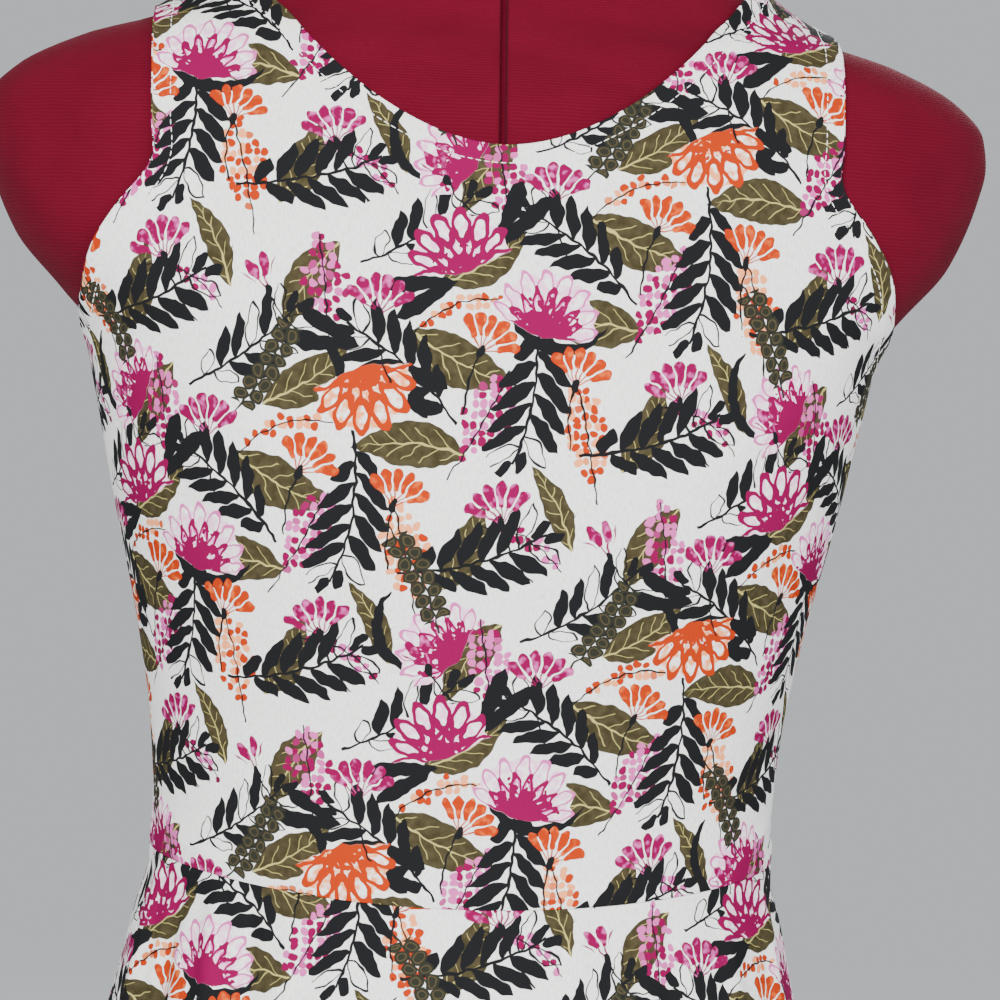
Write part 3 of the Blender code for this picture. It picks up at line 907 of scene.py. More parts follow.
# Columns: degrees from the centre front, half-width in degrees, rise at the hem, start below the waist.
FOLDS = (
    (13.0, 16.0, 0.012, 0.120),
    (35.0, 13.0, -0.010, 0.100),
    (57.0, 16.0, 0.015, 0.070),
    (79.0, 12.0, -0.009, 0.110),
    (100.0, 15.0, 0.011, 0.060),
    (124.0, 13.0, -0.011, 0.090),
    (146.0, 15.0, 0.014, 0.080),
    (168.0, 12.0, -0.009, 0.120),
    (190.0, 16.0, 0.013, 0.100),
    (213.0, 13.0, -0.011, 0.070),
    (236.0, 15.0, 0.015, 0.060),
    (258.0, 11.0, -0.008, 0.100),
    (284.0, 19.0, 0.012, 0.020),
    (309.0, 12.0, -0.011, 0.060),
    (328.0, 14.0, 0.013, 0.080),
    (350.0, 15.0, -0.009, 0.140),
)


def smoothstep(value: Array) -> Array:
    """Eases from 0 to 1."""
    value = np.clip(value, 0.0, 1.0)
    return value * value * (3.0 - 2.0 * value)


def unit(vectors: Array) -> Array:
    """Vectors made one long."""
    return vectors / np.maximum(np.linalg.norm(vectors, axis=-1, keepdims=True), 1e-12)


def run(points: Array, axis: int = 0) -> Array:
    """How far along a path, or along each of many that lie side by side, its points are."""
    steps = np.linalg.norm(np.diff(points, axis=axis), axis=-1)
    return np.concatenate([np.take(steps, [0], axis) * 0.0, np.cumsum(steps, axis=axis)], axis=axis)


def left_of(share: Array, power: Array | float) -> Array:
    """A superellipse's other half-width, as a share, where one half-width has this share."""
    return (1.0 - share**power) ** (1.0 / power)


class Loft:
    """A shape given by its level sections, superellipses whose front and back halves differ in depth."""

    def __init__(self, rows: tuple[tuple[float, ...], ...]) -> None:
        """Prepares smooth curves through the sections that never overshoot them.

        Args:
            rows: the listed sections, from the lowest up.
        """
        table = np.array(rows)
        self.heights, self.values = table[:, 0], table[:, 1:]
        rises = np.diff(self.values, axis=0) / np.diff(self.heights)[:, None]
        product = rises[:-1] * rises[1:]
        level = np.zeros((1, self.values.shape[1]))
        total = np.where(product > 0.0, rises[:-1] + rises[1:], 1.0)
        inner = np.where(product > 0.0, 2.0 * product / total, 0.0)
        self.slopes = np.vstack([level, inner, level])

    def at(self, z: Array) -> tuple[Array, Array, Array, Array]:
        """The section at a height.

        Args:
            z: heights above the floor.

        Returns:
            The half-width, the depths in front and behind, and the squareness.
        """
        height = np.clip(np.asarray(z, float) - WAIST_Z, self.heights[0], self.heights[-1])
        i = np.clip(np.searchsorted(self.heights, height, side="right") - 1, 0, len(self.heights) - 2)
        span = (self.heights[i + 1] - self.heights[i])[..., None]
        t = (height - self.heights[i])[..., None] / span
        square, cube = t * t, t * t * t
        blended = (
            self.values[i] * (2 * cube - 3 * square + 1)
            + self.values[i + 1] * (3 * square - 2 * cube)
            + self.slopes[i] * span * (cube - 2 * square + t)
            + self.slopes[i + 1] * span * (cube - square)
        )
        return tuple(np.moveaxis(blended, -1, 0))

    def ring(self, z: Array, turn: Array) -> Array:
        """Points on the surface, by height and turn.

        Args:
            z: heights above the floor.
            turn: degrees from the centre front, towards +X.

        Returns:
            The points.
        """
        wide, front, back, squareness = self.at(z)
        sine, cosine = np.sin(np.radians(turn)), np.cos(np.radians(turn))
        power = 2.0 / squareness
        x = wide * np.sign(sine) * np.abs(sine) ** power
        y = -np.where(cosine > 0.0, front, back) * np.sign(cosine) * np.abs(cosine) ** power
        return np.stack(np.broadcast_arrays(x, y, z), axis=-1)

    def depth_at(self, x: Array, z: Array, side: int) -> Array:
        """The surface's depth at places seen from in front.

        Args:
            x: distances from the centre line.
            z: heights above the floor.
            side: -1 for the front and 1 for the back.

        Returns:
            The surface's y.
        """
        wide, front, back, squareness = self.at(z)
        reach = np.minimum(np.abs(x) / wide, 1.0)
        depth = front if side < 0 else back
        return side * depth * left_of(reach, squareness)

    def level(self, points: Array) -> Array:
        """Zero on the surface and positive outside it."""
        wide, front, back, squareness = self.at(points[..., 2])
        depth = np.where(points[..., 1] < 0.0, front, back)
        across = (np.abs(points[..., 0]) / wide) ** squareness
        return across + (np.abs(points[..., 1]) / depth) ** squareness - 1.0

    def normals(self, points: Array) -> Array:
        """The outward directions at points on the surface."""
        steps = np.eye(3) * 0.5 * MM
        slopes = [self.level(points + step) - self.level(points - step) for step in steps]
        return unit(np.stack(slopes, axis=-1))

    def arc(self, x: Array, z: Array, side: int) -> Array:
        """How far it is around the surface, at one level, from the centre to x.

        Args:
            x: distances from the centre line.
            z: heights above the floor.
            side: -1 for the front and 1 for the back.

        Returns:
            The distances round, which are negative where x is.
        """
        levels = np.linspace(self.heights[0], self.heights[-1], 160) + WAIST_Z
        turns = np.linspace(0.0, 90.0, 361)
        rings = self.ring(levels[:, None], turns if side < 0 else 180.0 - turns)
        table = run(rings, axis=1)
        wide, _, _, squareness = self.at(z)
        turn = np.degrees(np.arcsin(np.minimum(np.abs(x) / wide, 1.0) ** (squareness / 2.0)))
        column = np.clip(turn / (turns[1] - turns[0]), 0.0, len(turns) - 1.001)
        row = np.clip((z - levels[0]) / (levels[1] - levels[0]), 0.0, len(levels) - 1.001)
        i, j = row.astype(int), column.astype(int)
        down, along = row - i, column - j
        low = table[i, j] * (1.0 - along) + table[i, j + 1] * along
        high = table[i + 1, j] * (1.0 - along) + table[i + 1, j + 1] * along
        return np.sign(x) * (low * (1.0 - down) + high * down)


FORM = Loft(FORM_SECTIONS)
SKIRT = Loft(SKIRT_SECTIONS)


def turn_of(across: Array, side: int) -> Array:
    """Degrees from the centre front, towards +X, of a column of a piece; side is -1 for the front."""
    return 90.0 * across if side < 0 else 180.0 - 90.0 * across


def waist_seam_z(turn: Array) -> Array:
    """The waist seam dips at the centre front."""
    return WAIST_Z + WAIST_RISE * (1.0 - smoothstep(1.0 - np.abs(turn) / WAIST_DIP_TURN))


def shoulder_z(x: Array) -> Array:
    """Height of the form's shoulder ridge at x, found by halving between two heights.

    Args:
        x: distances from the centre line.

    Returns:
        The heights above the floor.
    """
    low = np.full_like(x, SHOULDER_TIP_Z - SHOULDER_SEARCH)
    high = np.full_like(x, NECK_POINT_Z + SHOULDER_SEARCH)
    for _ in range(30):
        middle = (low + high) / 2
        wider = FORM.at(middle)[0] > np.abs(x)
        low, high = np.where(wider, middle, low), np.where(wider, high, middle)
    return (low + high) / 2


SHOULDER_SEAM_TIP = float(shoulder_z(np.array([STRAP_OUTER_X]))[0])
SHOULDER_SEAM_NECK = float(shoulder_z(np.array([NECK_HALF_WIDTH]))[0])


# -------------------------------------------------------------------------------------------- the cloth


@dataclass(frozen=True)
class Crease:
    """A soft ridge in the cloth, or a trough where its rise is negative.

    Sizes are millimetres, and places are on the flat piece: across from its centre line, to the right as
    seen from outside, and up from its waist seam.
    """

    start_across: float
    start_up: float
    end_across: float
    end_up: float
    bow: float
    half_width: float
    rise: float

    def lift(self, flat: Array) -> Array:
        """How far the crease lifts the cloth.

        Args:
            flat: the places, in millimetres.

        Returns:
            The lifts, in metres.
        """
        a, b = np.array([self.start_across, self.start_up]), np.array([self.end_across, self.end_up])
        side = np.array([a[1] - b[1], b[0] - a[0]]) / np.linalg.norm(b - a)
        shares = np.linspace(0.0, 1.0, 28)
        path = a + (b - a) * shares[:, None] + side * (self.bow * 4.0 * shares * (1.0 - shares))[:, None]
        low, high = path.min(axis=0) - self.half_width, path.max(axis=0) + self.half_width
        near = np.all((flat > low) & (flat < high), axis=-1)
        lifts = np.zeros(flat.shape[:-1])
        away = np.linalg.norm(flat[near][:, None] - path, axis=-1)
        nearest = away.argmin(axis=1)
        share = shares[nearest]
        taper = np.sin(np.pi * np.clip(share, 0.0, 1.0)) ** 0.8
        cross = np.clip(away.min(axis=1) / (self.half_width * (0.55 + 0.45 * taper)), 0.0, 1.0)
        lifts[near] = self.rise * MM * taper * (1.0 + np.cos(np.pi * cross)) / 2
        return lifts


@dataclass
class Grid:
    """A panel's fine grid; rows run up the panel and columns across it.

    Attributes:
        inner: the points of the cloth's inner side.
        outward: the directions away from the form.
        flat: each point's place on the flat piece, in millimetres.
        across: the columns, from -1 to 1.
        rows: the rows, from 0 to 1.
    """

    inner: Array
    outward: Array
    flat: Array
    across: Array
    rows: Array


def graded(ends: tuple[Array, Array], count: int, span: float) -> Array:
    """Stops from 0 to 1, with listed ones near the ends and even ones between.

    Args:
        ends: distances in millimetres from the low end and from the high one.
        count: how many even stops lie between them.
        span: the whole length in millimetres.

    Returns:
        The stops.
    """
    low, high = (np.concatenate([[0.0], stops]) / span for stops in ends)
    middle = np.linspace(low[-1], 1.0 - high[-1], count + 2)[1:-1]
    return np.concatenate([low, middle, 1.0 - high[::-1]])


# Where the grids' rows and columns lie near seams, turned edges and the hem, in millimetres from them.
CENTRE_STOPS = np.array([0.9])
SEAM_STOPS = np.array([0.25, 0.6, 1.1, 1.7, 2.4, 3.4, 4.6, 6.0, 7.2, 8.4, 9.8])
CORNER_STOPS = SEAM_STOPS[:5]
TURNED_STOPS = np.array(
    [0.25, 0.6, 1.1, 1.8, 2.6, 3.6, 4.6, 5.5, 6.2, 6.8, 7.3, 7.8, 8.4, 9.1, 10.0, 11.2, 12.6]
)
HEM_STOPS = np.array(
    [0.3, 0.9, 1.8, 3.2, 5.0, 8.0, 11.0, 14.0, 17.0, 18.8, 19.6, 20.3, 21.0, 22.0, 24.0, 27.0]
)
# How many even rows and columns lie between those, and half a piece's usual width in millimetres.
HALF_COLUMNS = 74
SIDE_ROWS = 66
ARMHOLE_ROWS = 52
SKIRT_ROWS = 122
HALF_SPAN = 165.0


def columns(neck: bool) -> Array:
    """Column places from -1 to 1, close together near both ends.

    Args:
        neck: whether two columns have to pass exactly through the neck's corners.

    Returns:
        The places.
    """
    half = graded((CENTRE_STOPS, TURNED_STOPS), HALF_COLUMNS, HALF_SPAN)
    if neck:
        corner = NECK_HALF_WIDTH / STRAP_OUTER_X
        half[np.abs(half - corner).argmin()] = corner
    return np.concatenate([-half[:0:-1], half])


@dataclass(frozen=True)
class BodiceCut:
    """What differs between the bodice's two pieces; side is -1 for the front and 1 for the back."""

    side: int
    neck_drop: float
    armhole_depth: float

    def top_z(self, x: Array) -> Array:
        """Height of the neck edge or of the shoulder seam at x."""
        drop = self.neck_drop * (1.0 - np.minimum(np.abs(x) / NECK_HALF_WIDTH, 1.0) ** NECK_CURVE)
        return np.where(np.abs(x) >= NECK_HALF_WIDTH, shoulder_z(x), SHOULDER_SEAM_NECK - drop)

    def outer_x(self, z: Array) -> Array:
        """Half-width at a height: out to the side seam, or to the armhole edge above it.

        Args:
            z: heights above the floor.

        Returns:
            The half-widths.
        """
        wide, front, back, squareness = FORM.at(z)
        middle, half = (UNDERARM_Z + SHOULDER_SEAM_TIP) / 2, (SHOULDER_SEAM_TIP - UNDERARM_Z) / 2
        level = np.minimum(np.abs(z - middle) / half, 1.0)
        cut_in = self.armhole_depth * left_of(level, ARMHOLE_CURVE)
        depth = front if self.side < 0 else back
        scooped = wide * left_of(np.minimum(cut_in / depth, 1.0), squareness)
        straight = STRAP_OUTER_X - STRAP_LEAN * (SHOULDER_SEAM_TIP - z)
        blend = smoothstep((z - middle) / (2.0 * half * STRAP_BLEND) + 0.5)
        return np.where(z <= UNDERARM_Z, wide, scooped + (straight - scooped) * blend)

    def rows(self) -> Array:
        """Row places from 0 to 1: even up the side seam, then even along the armhole edge."""
        low, height = SIDE_FOOT_Z, UNDERARM_Z - SIDE_FOOT_Z
        side = low + height * graded((SEAM_STOPS, CORNER_STOPS), SIDE_ROWS, height / MM)
        z = UNDERARM_Z + (SHOULDER_SEAM_TIP - UNDERARM_Z) * (1.0 - np.cos(np.linspace(0.0, np.pi, 1200))) / 2
        x = self.outer_x(z)
        edge = np.stack([x, FORM.depth_at(x, z, self.side), z], axis=-1)
        lengths = run(edge)
        stops = graded((CORNER_STOPS, TURNED_STOPS), ARMHOLE_ROWS, lengths[-1] / MM)
        armhole = np.interp(stops * lengths[-1], lengths, z)
        return (np.concatenate([side[:-1], armhole]) - low) / (SHOULDER_SEAM_TIP - low)

    def grid(self) -> Grid:
        """Lays the piece on the form."""
        across, rows = columns(True), self.rows()
        a, row = across[None, :], rows[:, None]
        reach = np.abs(a)
        waist = waist_seam_z(turn_of(a, self.side))
        edge = self.outer_x(SIDE_FOOT_Z + (SHOULDER_SEAM_TIP - SIDE_FOOT_Z) * row)
        bent = np.sin(np.radians(90.0 * reach)) ** (2.0 / FORM.at(waist)[3])
        even = smoothstep((row - COLUMNS_EVEN_FROM) / COLUMNS_EVEN_OVER)
        x = edge * (bent * (1.0 - even) + reach * even)
        z = waist + (self.top_z(STRAP_OUTER_X * reach) - waist) * row
        x = np.sign(a) * np.minimum(x, FORM.at(z)[0])
        skin = np.stack([x, FORM.depth_at(x, z, self.side), z], axis=-1)
        outward = FORM.normals(skin)
        inner = skin + outward * EASE
        inner[0, :, 2] = skin[0, :, 2] + WAIST_GAP / 2
        return Grid(inner, outward, self.flatten(skin), across, rows)

    def flatten(self, skin: Array) -> Array:
        """Lays the piece out flat.

        Args:
            skin: the piece's places on the form.

        Returns:
            The places across from its centre line and up from its waist, in millimetres.
        """
        right = -self.side * FORM.arc(skin[..., 0], skin[..., 2], self.side) * (1.0 + EASE * FORM_CURVATURE)
        steps = np.sum(np.diff(skin, axis=0) ** 2, axis=-1) - np.diff(right, axis=0) ** 2
        rise = np.sign(np.diff(skin[..., 2], axis=0)) * np.sqrt(np.maximum(steps, 1e-12))
        up = (skin[:1, :, 2] - WAIST_Z) + np.vstack([np.zeros((1, skin.shape[1])), np.cumsum(rise, axis=0)])
        return np.stack([right, up], axis=-1) / MM


@dataclass(frozen=True)
class SkirtCut:
    """A half of the skirt; side is -1 for the front and 1 for the back."""

    side: int

    def folded(self, turn: Array, drop: Array) -> Array:
        """How far the soft folds stand out at a place.

        Args:
            turn: degrees from the centre front.
            drop: distances below the waist.

        Returns:
            The distances.
        """
        total = np.zeros(np.broadcast(turn, drop).shape)
        for middle, half_width, rise, start in FOLDS:
            away = np.minimum(np.abs((turn - middle + 180.0) % 360.0 - 180.0) / half_width, 1.0)
            grown = smoothstep((drop - start) / (WAIST_Z - HEM_Z - start))
            total = total + rise * grown * (1.0 + np.cos(np.pi * away)) / 2
        return total

    def grid(self) -> Grid:
        """Hangs the piece from the waist."""
        across = columns(False)
        rows = graded((HEM_STOPS, SEAM_STOPS), SKIRT_ROWS, (WAIST_Z - HEM_Z) / MM)
        a, row = across[None, :], rows[:, None]
        turn = turn_of(a, self.side)
        top = waist_seam_z(turn) - WAIST_GAP / 2
        z = HEM_Z + (top - HEM_Z) * row
        inner = SKIRT.ring(z, turn)
        level = unit(inner * (1.0, 1.0, 0.0))
        inner = inner + level * self.folded(turn, WAIST_Z - z)[..., None]
        inner[..., 2] = z
        outward = unit(np.cross(np.gradient(inner, axis=1), np.gradient(inner, axis=0)))
        outward *= np.sign(np.sum(outward * level, axis=-1, keepdims=True))
        return Grid(inner, outward, self.flatten(inner), across, rows)

    def flatten(self, inner: Array) -> Array:
        """Lays the piece out flat, as a sector of a ring.

        Args:
            inner: the piece's places as it hangs.

        Returns:
            The places from the middle of its waist edge, in millimetres.
        """
        around = run(inner, axis=1)
        share = around / around[:, -1:] - 0.5
        slants = np.linalg.norm(np.diff(inner, axis=0), axis=-1).mean(axis=1)
        down = np.concatenate([np.cumsum(slants[::-1])[::-1], [0.0]])[:, None]
        angle = (around[0, -1] - around[-1, -1]) / down[0, 0]
        waist_radius = around[-1, -1] / angle
        radius = waist_radius + down
        right = -self.side * radius * np.sin(share * angle)
        return np.stack([right, waist_radius - radius * np.cos(share * angle)], axis=-1) / MM


def dense(path: Array, step: float = 0.5 * MM) -> Array:
    """A path's points, with more put between them until they are a step apart."""
    lengths = run(path)
    stops = np.linspace(0.0, lengths[-1], max(int(lengths[-1] / step), 2))
    return np.stack([np.interp(stops, lengths, path[:, k]) for k in range(3)], axis=-1)


def distance_to(paths: list[Array], points: Array) -> Array:
    """How far points are from the nearest of some paths.

    Args:
        paths: the paths' points.
        points: the points.

    Returns:
        The distances in millimetres, or long ones where there is no path.
    """
    if not paths:
        return np.full(points.shape[:-1], 1000.0)
    stops = np.vstack([dense(path) for path in paths])
    tree = KDTree(len(stops))
    for index, stop in enumerate(stops):
        tree.insert(stop, index)
    tree.balance()
    away = [tree.find(point)[2] for point in points.reshape(-1, 3)]
    return np.array(away).reshape(points.shape[:-1]) / MM


@dataclass
class ClothPanel:
    """One cut piece of the dress, as a closed thin shell.

    Attributes:
        node: the CAD node it stands for.
        side: -1 for the front and 1 for the back.
        grid: its shape.
        finished: its turned edges.
        seams: its seamed edges.
        pressed: the seamed edges whose seam allowance lies under this piece.
        turning: how wide the turned band at its finished edges is, in millimetres.
        stitched: how far in from those edges the line of stitches runs, in millimetres.
        creases: its soft creases.
        print_at: where on the print its waist's middle lies, in millimetres.
        ply: how thick the cloth is; this and the rest are in millimetres.
        turned_extra: how much thicker the turned band is.
        stitch_dent: how deep the stitches press into it.
        seam_thinning: how much thinner the cloth is where a seam pulls it in.
        allowance_ridge: how much the seam allowance under it lifts its outer side.
        crease_hold: how far from its edges the creases fade out.
        seam_bulge: how far its rim stands out at a seam.
        waist_bulge: how far it stands out at the waist seam.
    """

    node: str
    side: int
    grid: Grid
    finished: list[Array]
    seams: list[Array]
    pressed: list[Array]
    turning: float
    stitched: float
    creases: tuple[Crease, ...]
    print_at: tuple[float, float]
    ply: float = 1.0
    turned_extra: float = 0.35
    stitch_dent: float = 0.22
    seam_thinning: float = 0.38
    allowance_ridge: float = 0.26
    crease_hold: float = 9.0
    seam_bulge: float = 0.11
    waist_bulge: float = 0.24
    inner: Array = field(init=False)
    outer: Array = field(init=False)

    def __post_init__(self) -> None:
        """Lays out the points of the cloth's two sides."""
        flat = self.grid.flat
        lift = sum((crease.lift(flat) for crease in self.creases), np.zeros(flat.shape[:-1]))
        edge = distance_to(self.finished, self.grid.inner)
        seam = distance_to(self.seams, self.grid.inner)
        pressed = distance_to(self.pressed, self.grid.inner)
        held = smoothstep(np.minimum(edge, seam) / self.crease_hold)
        self.inner = self.grid.inner + self.grid.outward * (lift * held)[..., None]
        thick = self.ply + self.turned_extra * smoothstep((self.turning + 0.5 - edge) / 0.9)
        thick -= self.stitch_dent * np.exp(-(((edge - self.stitched) / 0.6) ** 2))
        thick -= self.seam_thinning * np.clip(1.0 - seam / 1.6, 0.0, 1.0) ** 2
        ridge = smoothstep((pressed - 1.2) / 1.6) * smoothstep((8.6 - pressed) / 1.4)
        thick += self.allowance_ridge * ridge
        self.outer = self.inner + self.grid.outward * (thick * MM)[..., None]
        for points in (self.inner, self.outer):
            points[..., 1] = self.side * np.maximum(points[..., 1] * self.side, SEAM_GAP / 2)

    def lattice(self) -> tuple[Array, Array]:
        """The grid's vertex numbers, and its quads in order round, facing out on the front."""
        index = np.arange(self.outer.shape[0] * self.outer.shape[1]).reshape(self.outer.shape[:2])
        corners = [index[:-1, :-1], index[:-1, 1:], index[1:, 1:], index[1:, :-1]]
        return index, np.stack(corners, axis=-1).reshape(-1, 4)

    def rims(self, loop: Array) -> list[Array]:
        """The rounded rows between the outer side's edge and the inner side's.

        Args:
            loop: the vertex numbers round the grid's boundary.

        Returns:
            The rows' points, from the outer side to the inner.
        """
        rows, count = self.outer.shape[:2]
        middle = ((self.inner + self.outer) / 2).reshape(-1, 3)
        beside = np.clip(loop // count, 1, rows - 2) * count + np.clip(loop % count, 1, count - 2)
        up = self.outer.reshape(-1, 3)[loop] - middle[loop]
        away = middle[loop] - middle[beside]
        along = unit(np.roll(middle[loop], -1, axis=0) - np.roll(middle[loop], 1, axis=0))
        for axis in (along, unit(up)):
            away -= axis * np.sum(away * axis, axis=-1, keepdims=True)
        seamed = distance_to(self.seams, middle[loop]) < 1.5
        waisted = np.abs(middle[loop][:, 2] - WAIST_Z) < 12.0 * MM
        seam_bulge = np.where(waisted, self.waist_bulge, self.seam_bulge) * MM
        bulge = unit(away) * np.where(seamed, seam_bulge, np.linalg.norm(up, axis=-1))[:, None]
        rows_out = []
        for angle in np.radians([60.0, 30.0, 0.0, -30.0, -60.0]):
            rim = middle[loop] + up * math.sin(angle) + bulge * math.cos(angle)
            nearest = SEAM_GAP / 2 - self.seam_bulge * MM
            rim[:, 1] = self.side * np.maximum(rim[:, 1] * self.side, nearest)
            rows_out.append(rim)
        return rows_out

    def build(self, cloth: bpy.types.Material, reverse: bpy.types.Material) -> bpy.types.Object:
        """Builds the shell.

        Args:
            cloth: the printed side's material.
            reverse: the other side's material.

        Returns:
            The piece.
        """
        index, quads = self.lattice()
        size = index.size
        loop = np.concatenate([index[0, :-1], index[:-1, -1], index[-1, :0:-1], index[:0:-1, 0]])
        rims = self.rims(loop)
        between = (2 * size + k * len(loop) + np.arange(len(loop)) for k in range(len(rims)))
        lanes = [loop, *between, size + loop]
        pairs = zip(lanes, lanes[1:])
        strips = [np.stack([np.roll(a, -1), a, b, np.roll(b, -1)], axis=-1) for a, b in pairs]
        faces = np.vstack([quads, quads[:, ::-1] + size, *strips])
        if self.side > 0:
            faces = faces[:, ::-1]
        points = np.vstack([self.outer.reshape(-1, 3), self.inner.reshape(-1, 3), *rims])
        mesh = new_mesh(self.node, points, faces.tolist(), cloth, reverse)
        backing = np.zeros(len(faces), np.int32)
        backing[len(quads) : 2 * len(quads)] = 1
        mesh.polygons.foreach_set("material_index", backing)
        printed = self.grid.flat.reshape(-1, 2) + self.print_at
        add_map(mesh, FloralPrint.map_name, np.vstack([printed, printed, *[printed[loop]] * len(rims)]))
        u = np.tile(self.grid.across / 2 + 0.5, len(self.grid.rows)) * 0.99 + 0.005
        v = np.repeat(self.grid.rows, len(self.grid.across))
        front, back = np.stack([u, v * 0.655 + 0.34], -1), np.stack([u, v * 0.32 + 0.005], -1)
        add_map(mesh, "OFBake", np.vstack([front, back, *[front[loop]] * len(rims)]))
        return show(self.node + "_cloth", mesh)

    def stitch_line(self, path: Array) -> Array:
        """The line on the piece's outer side where the stitches along one of its edges lie.

        Args:
            path: the edge.

        Returns:
            The line's points.
        """
        _, quads = self.lattice()
        surface = BVHTree.FromPolygons(self.outer.reshape(-1, 3).tolist(), quads.tolist())
        stops = dense(path, 2.0 * MM)
        line = []
        for stop, heading in zip(stops, np.gradient(stops, axis=0)):
            start, normal, _, _ = surface.find_nearest(Vector(stop))
            step = Vector(heading).cross(normal).normalized() * self.stitched * MM
            spots = [surface.find_nearest(start + step), surface.find_nearest(start - step)]
            spot, normal, _, _ = max(spots, key=lambda found: (found[0] - start).length)
            line.append(spot + normal * 0.05 * MM)
        return np.array(line)


def add_map(mesh: bpy.types.Mesh, name: str, places: Array) -> None:
    """Adds a UV map that gives each vertex one place."""
    corners = np.empty(len(mesh.loops), np.int32)
    mesh.loops.foreach_get("vertex_index", corners)
    mesh.uv_layers.new(name=name).data.foreach_set("uv", places[corners].ravel())


def new_mesh(name: str, points: Array, faces: list, *materials: bpy.types.Material) -> bpy.types.Mesh:
    """Makes a smooth mesh.

    Args:
        name: its name.
        points: its vertices.
        faces: each face's vertex numbers.
        materials: its materials.

    Returns:
        The mesh.
    """
    mesh = bpy.data.meshes.new(name)
    mesh.from_pydata(points.reshape(-1, 3).tolist(), [], faces)
    for material in materials:
        mesh.materials.append(material)
    mesh.shade_smooth()
    return mesh


def show(name: str, data: bpy.types.ID) -> bpy.types.Object:
    """Puts a mesh, a lamp or a camera into the scene."""
    made = bpy.data.objects.new(name, data)
    bpy.context.scene.collection.objects.link(made)
    return made


# ------------------------------------------------------------------------------------------- the dress

# By piece. Columns: start across and up, end across and up, bow, half-width, rise; all in millimetres.
CREASES = {
    "bodice_front": (
        (-128.0, 196.0, -58.0, 150.0, 6.0, 9.0, 0.8),
        (-134.0, 180.0, -84.0, 118.0, -5.0, 10.0, -0.7),
        (136.0, 198.0, 70.0, 160.0, -5.0, 9.0, 0.8),
        (140.0, 176.0, 96.0, 104.0, 6.0, 11.0, -0.7),
        (-92.0, 322.0, -80.0, 262.0, 3.0, 6.0, 0.7),
        (104.0, 330.0, 88.0, 276.0, -3.0, 5.0, 0.9),
        (116.0, 334.0, 100.0, 282.0, -2.0, 5.0, -0.7),
        (-152.0, 26.0, -96.0, 11.0, -3.0, 7.0, 1.2),
        (-150.0, 44.0, -88.0, 34.0, 4.0, 9.0, -0.8),
        (148.0, 30.0, 104.0, 12.0, 3.0, 7.0, 1.0),
        (150.0, 66.0, 112.0, 34.0, -4.0, 9.0, -0.8),
        (-24.0, 120.0, 8.0, 24.0, 6.0, 16.0, -0.5),
        (38.0, 150.0, 58.0, 52.0, -6.0, 15.0, 0.5),
        (-20.0, 252.0, 26.0, 238.0, 3.0, 10.0, 0.5),
    ),
    "bodice_back": (
        (-124.0, 200.0, -52.0, 160.0, 5.0, 10.0, 0.8),
        (-130.0, 172.0, -80.0, 112.0, -6.0, 11.0, -0.7),
        (126.0, 194.0, 60.0, 168.0, -6.0, 9.0, 0.9),
        (130.0, 168.0, 90.0, 122.0, 5.0, 10.0, -0.7),
        (-98.0, 330.0, -86.0, 274.0, 2.0, 6.0, 0.8),
        (104.0, 326.0, 92.0, 268.0, -3.0, 6.0, 0.7),
        (-60.0, 40.0, -12.0, 26.0, 3.0, 9.0, 1.0),
        (14.0, 52.0, 78.0, 38.0, -4.0, 10.0, 0.9),
        (-84.0, 66.0, -22.0, 58.0, 4.0, 11.0, -0.8),
        (-140.0, 30.0, -98.0, 14.0, 3.0, 8.0, 1.0),
        (138.0, 34.0, 92.0, 12.0, -3.0, 8.0, 1.1),
    ),
    "skirt_front": (
        (-139.0, 26.0, -163.0, -168.0, -4.0, 11.0, 4.6),
        (-121.0, 22.0, -142.0, -150.0, -3.0, 9.0, -3.4),
        (-104.0, 24.0, -116.0, -190.0, 3.0, 10.0, 4.0),
        (-86.0, 20.0, -97.0, -120.0, 2.0, 9.0, -2.6),
        (-68.0, 16.0, -74.0, -96.0, -2.0, 8.0, 1.5),
        (-48.0, 8.0, -54.0, -140.0, -3.0, 12.0, 1.3),
        (-10.0, 8.0, -16.0, -170.0, 4.0, 14.0, -1.2),
        (34.0, 12.0, 44.0, -130.0, 3.0, 12.0, 1.4),
        (78.0, 14.0, 92.0, -160.0, -3.0, 11.0, -1.8),
        (103.0, 18.0, 121.0, -140.0, 4.0, 10.0, 2.2),
        (134.0, 22.0, 160.0, -180.0, 3.0, 11.0, 3.6),
    ),
    "skirt_back": (
        (-136.0, 20.0, -158.0, -150.0, 4.0, 11.0, 2.6),
        (-107.0, 16.0, -122.0, -180.0, -3.0, 11.0, -2.1),
        (-76.0, 18.0, -84.0, -130.0, 3.0, 10.0, 2.0),
        (-36.0, 8.0, -42.0, -170.0, -4.0, 13.0, -1.4),
        (6.0, 12.0, 10.0, -120.0, 2.0, 11.0, 1.5),
        (48.0, 14.0, 58.0, -190.0, -3.0, 12.0, 1.8),
        (88.0, 16.0, 99.0, -140.0, 3.0, 10.0, -2.0),
        (122.0, 20.0, 146.0, -170.0, 3.0, 11.0, 2.8),
    ),
}


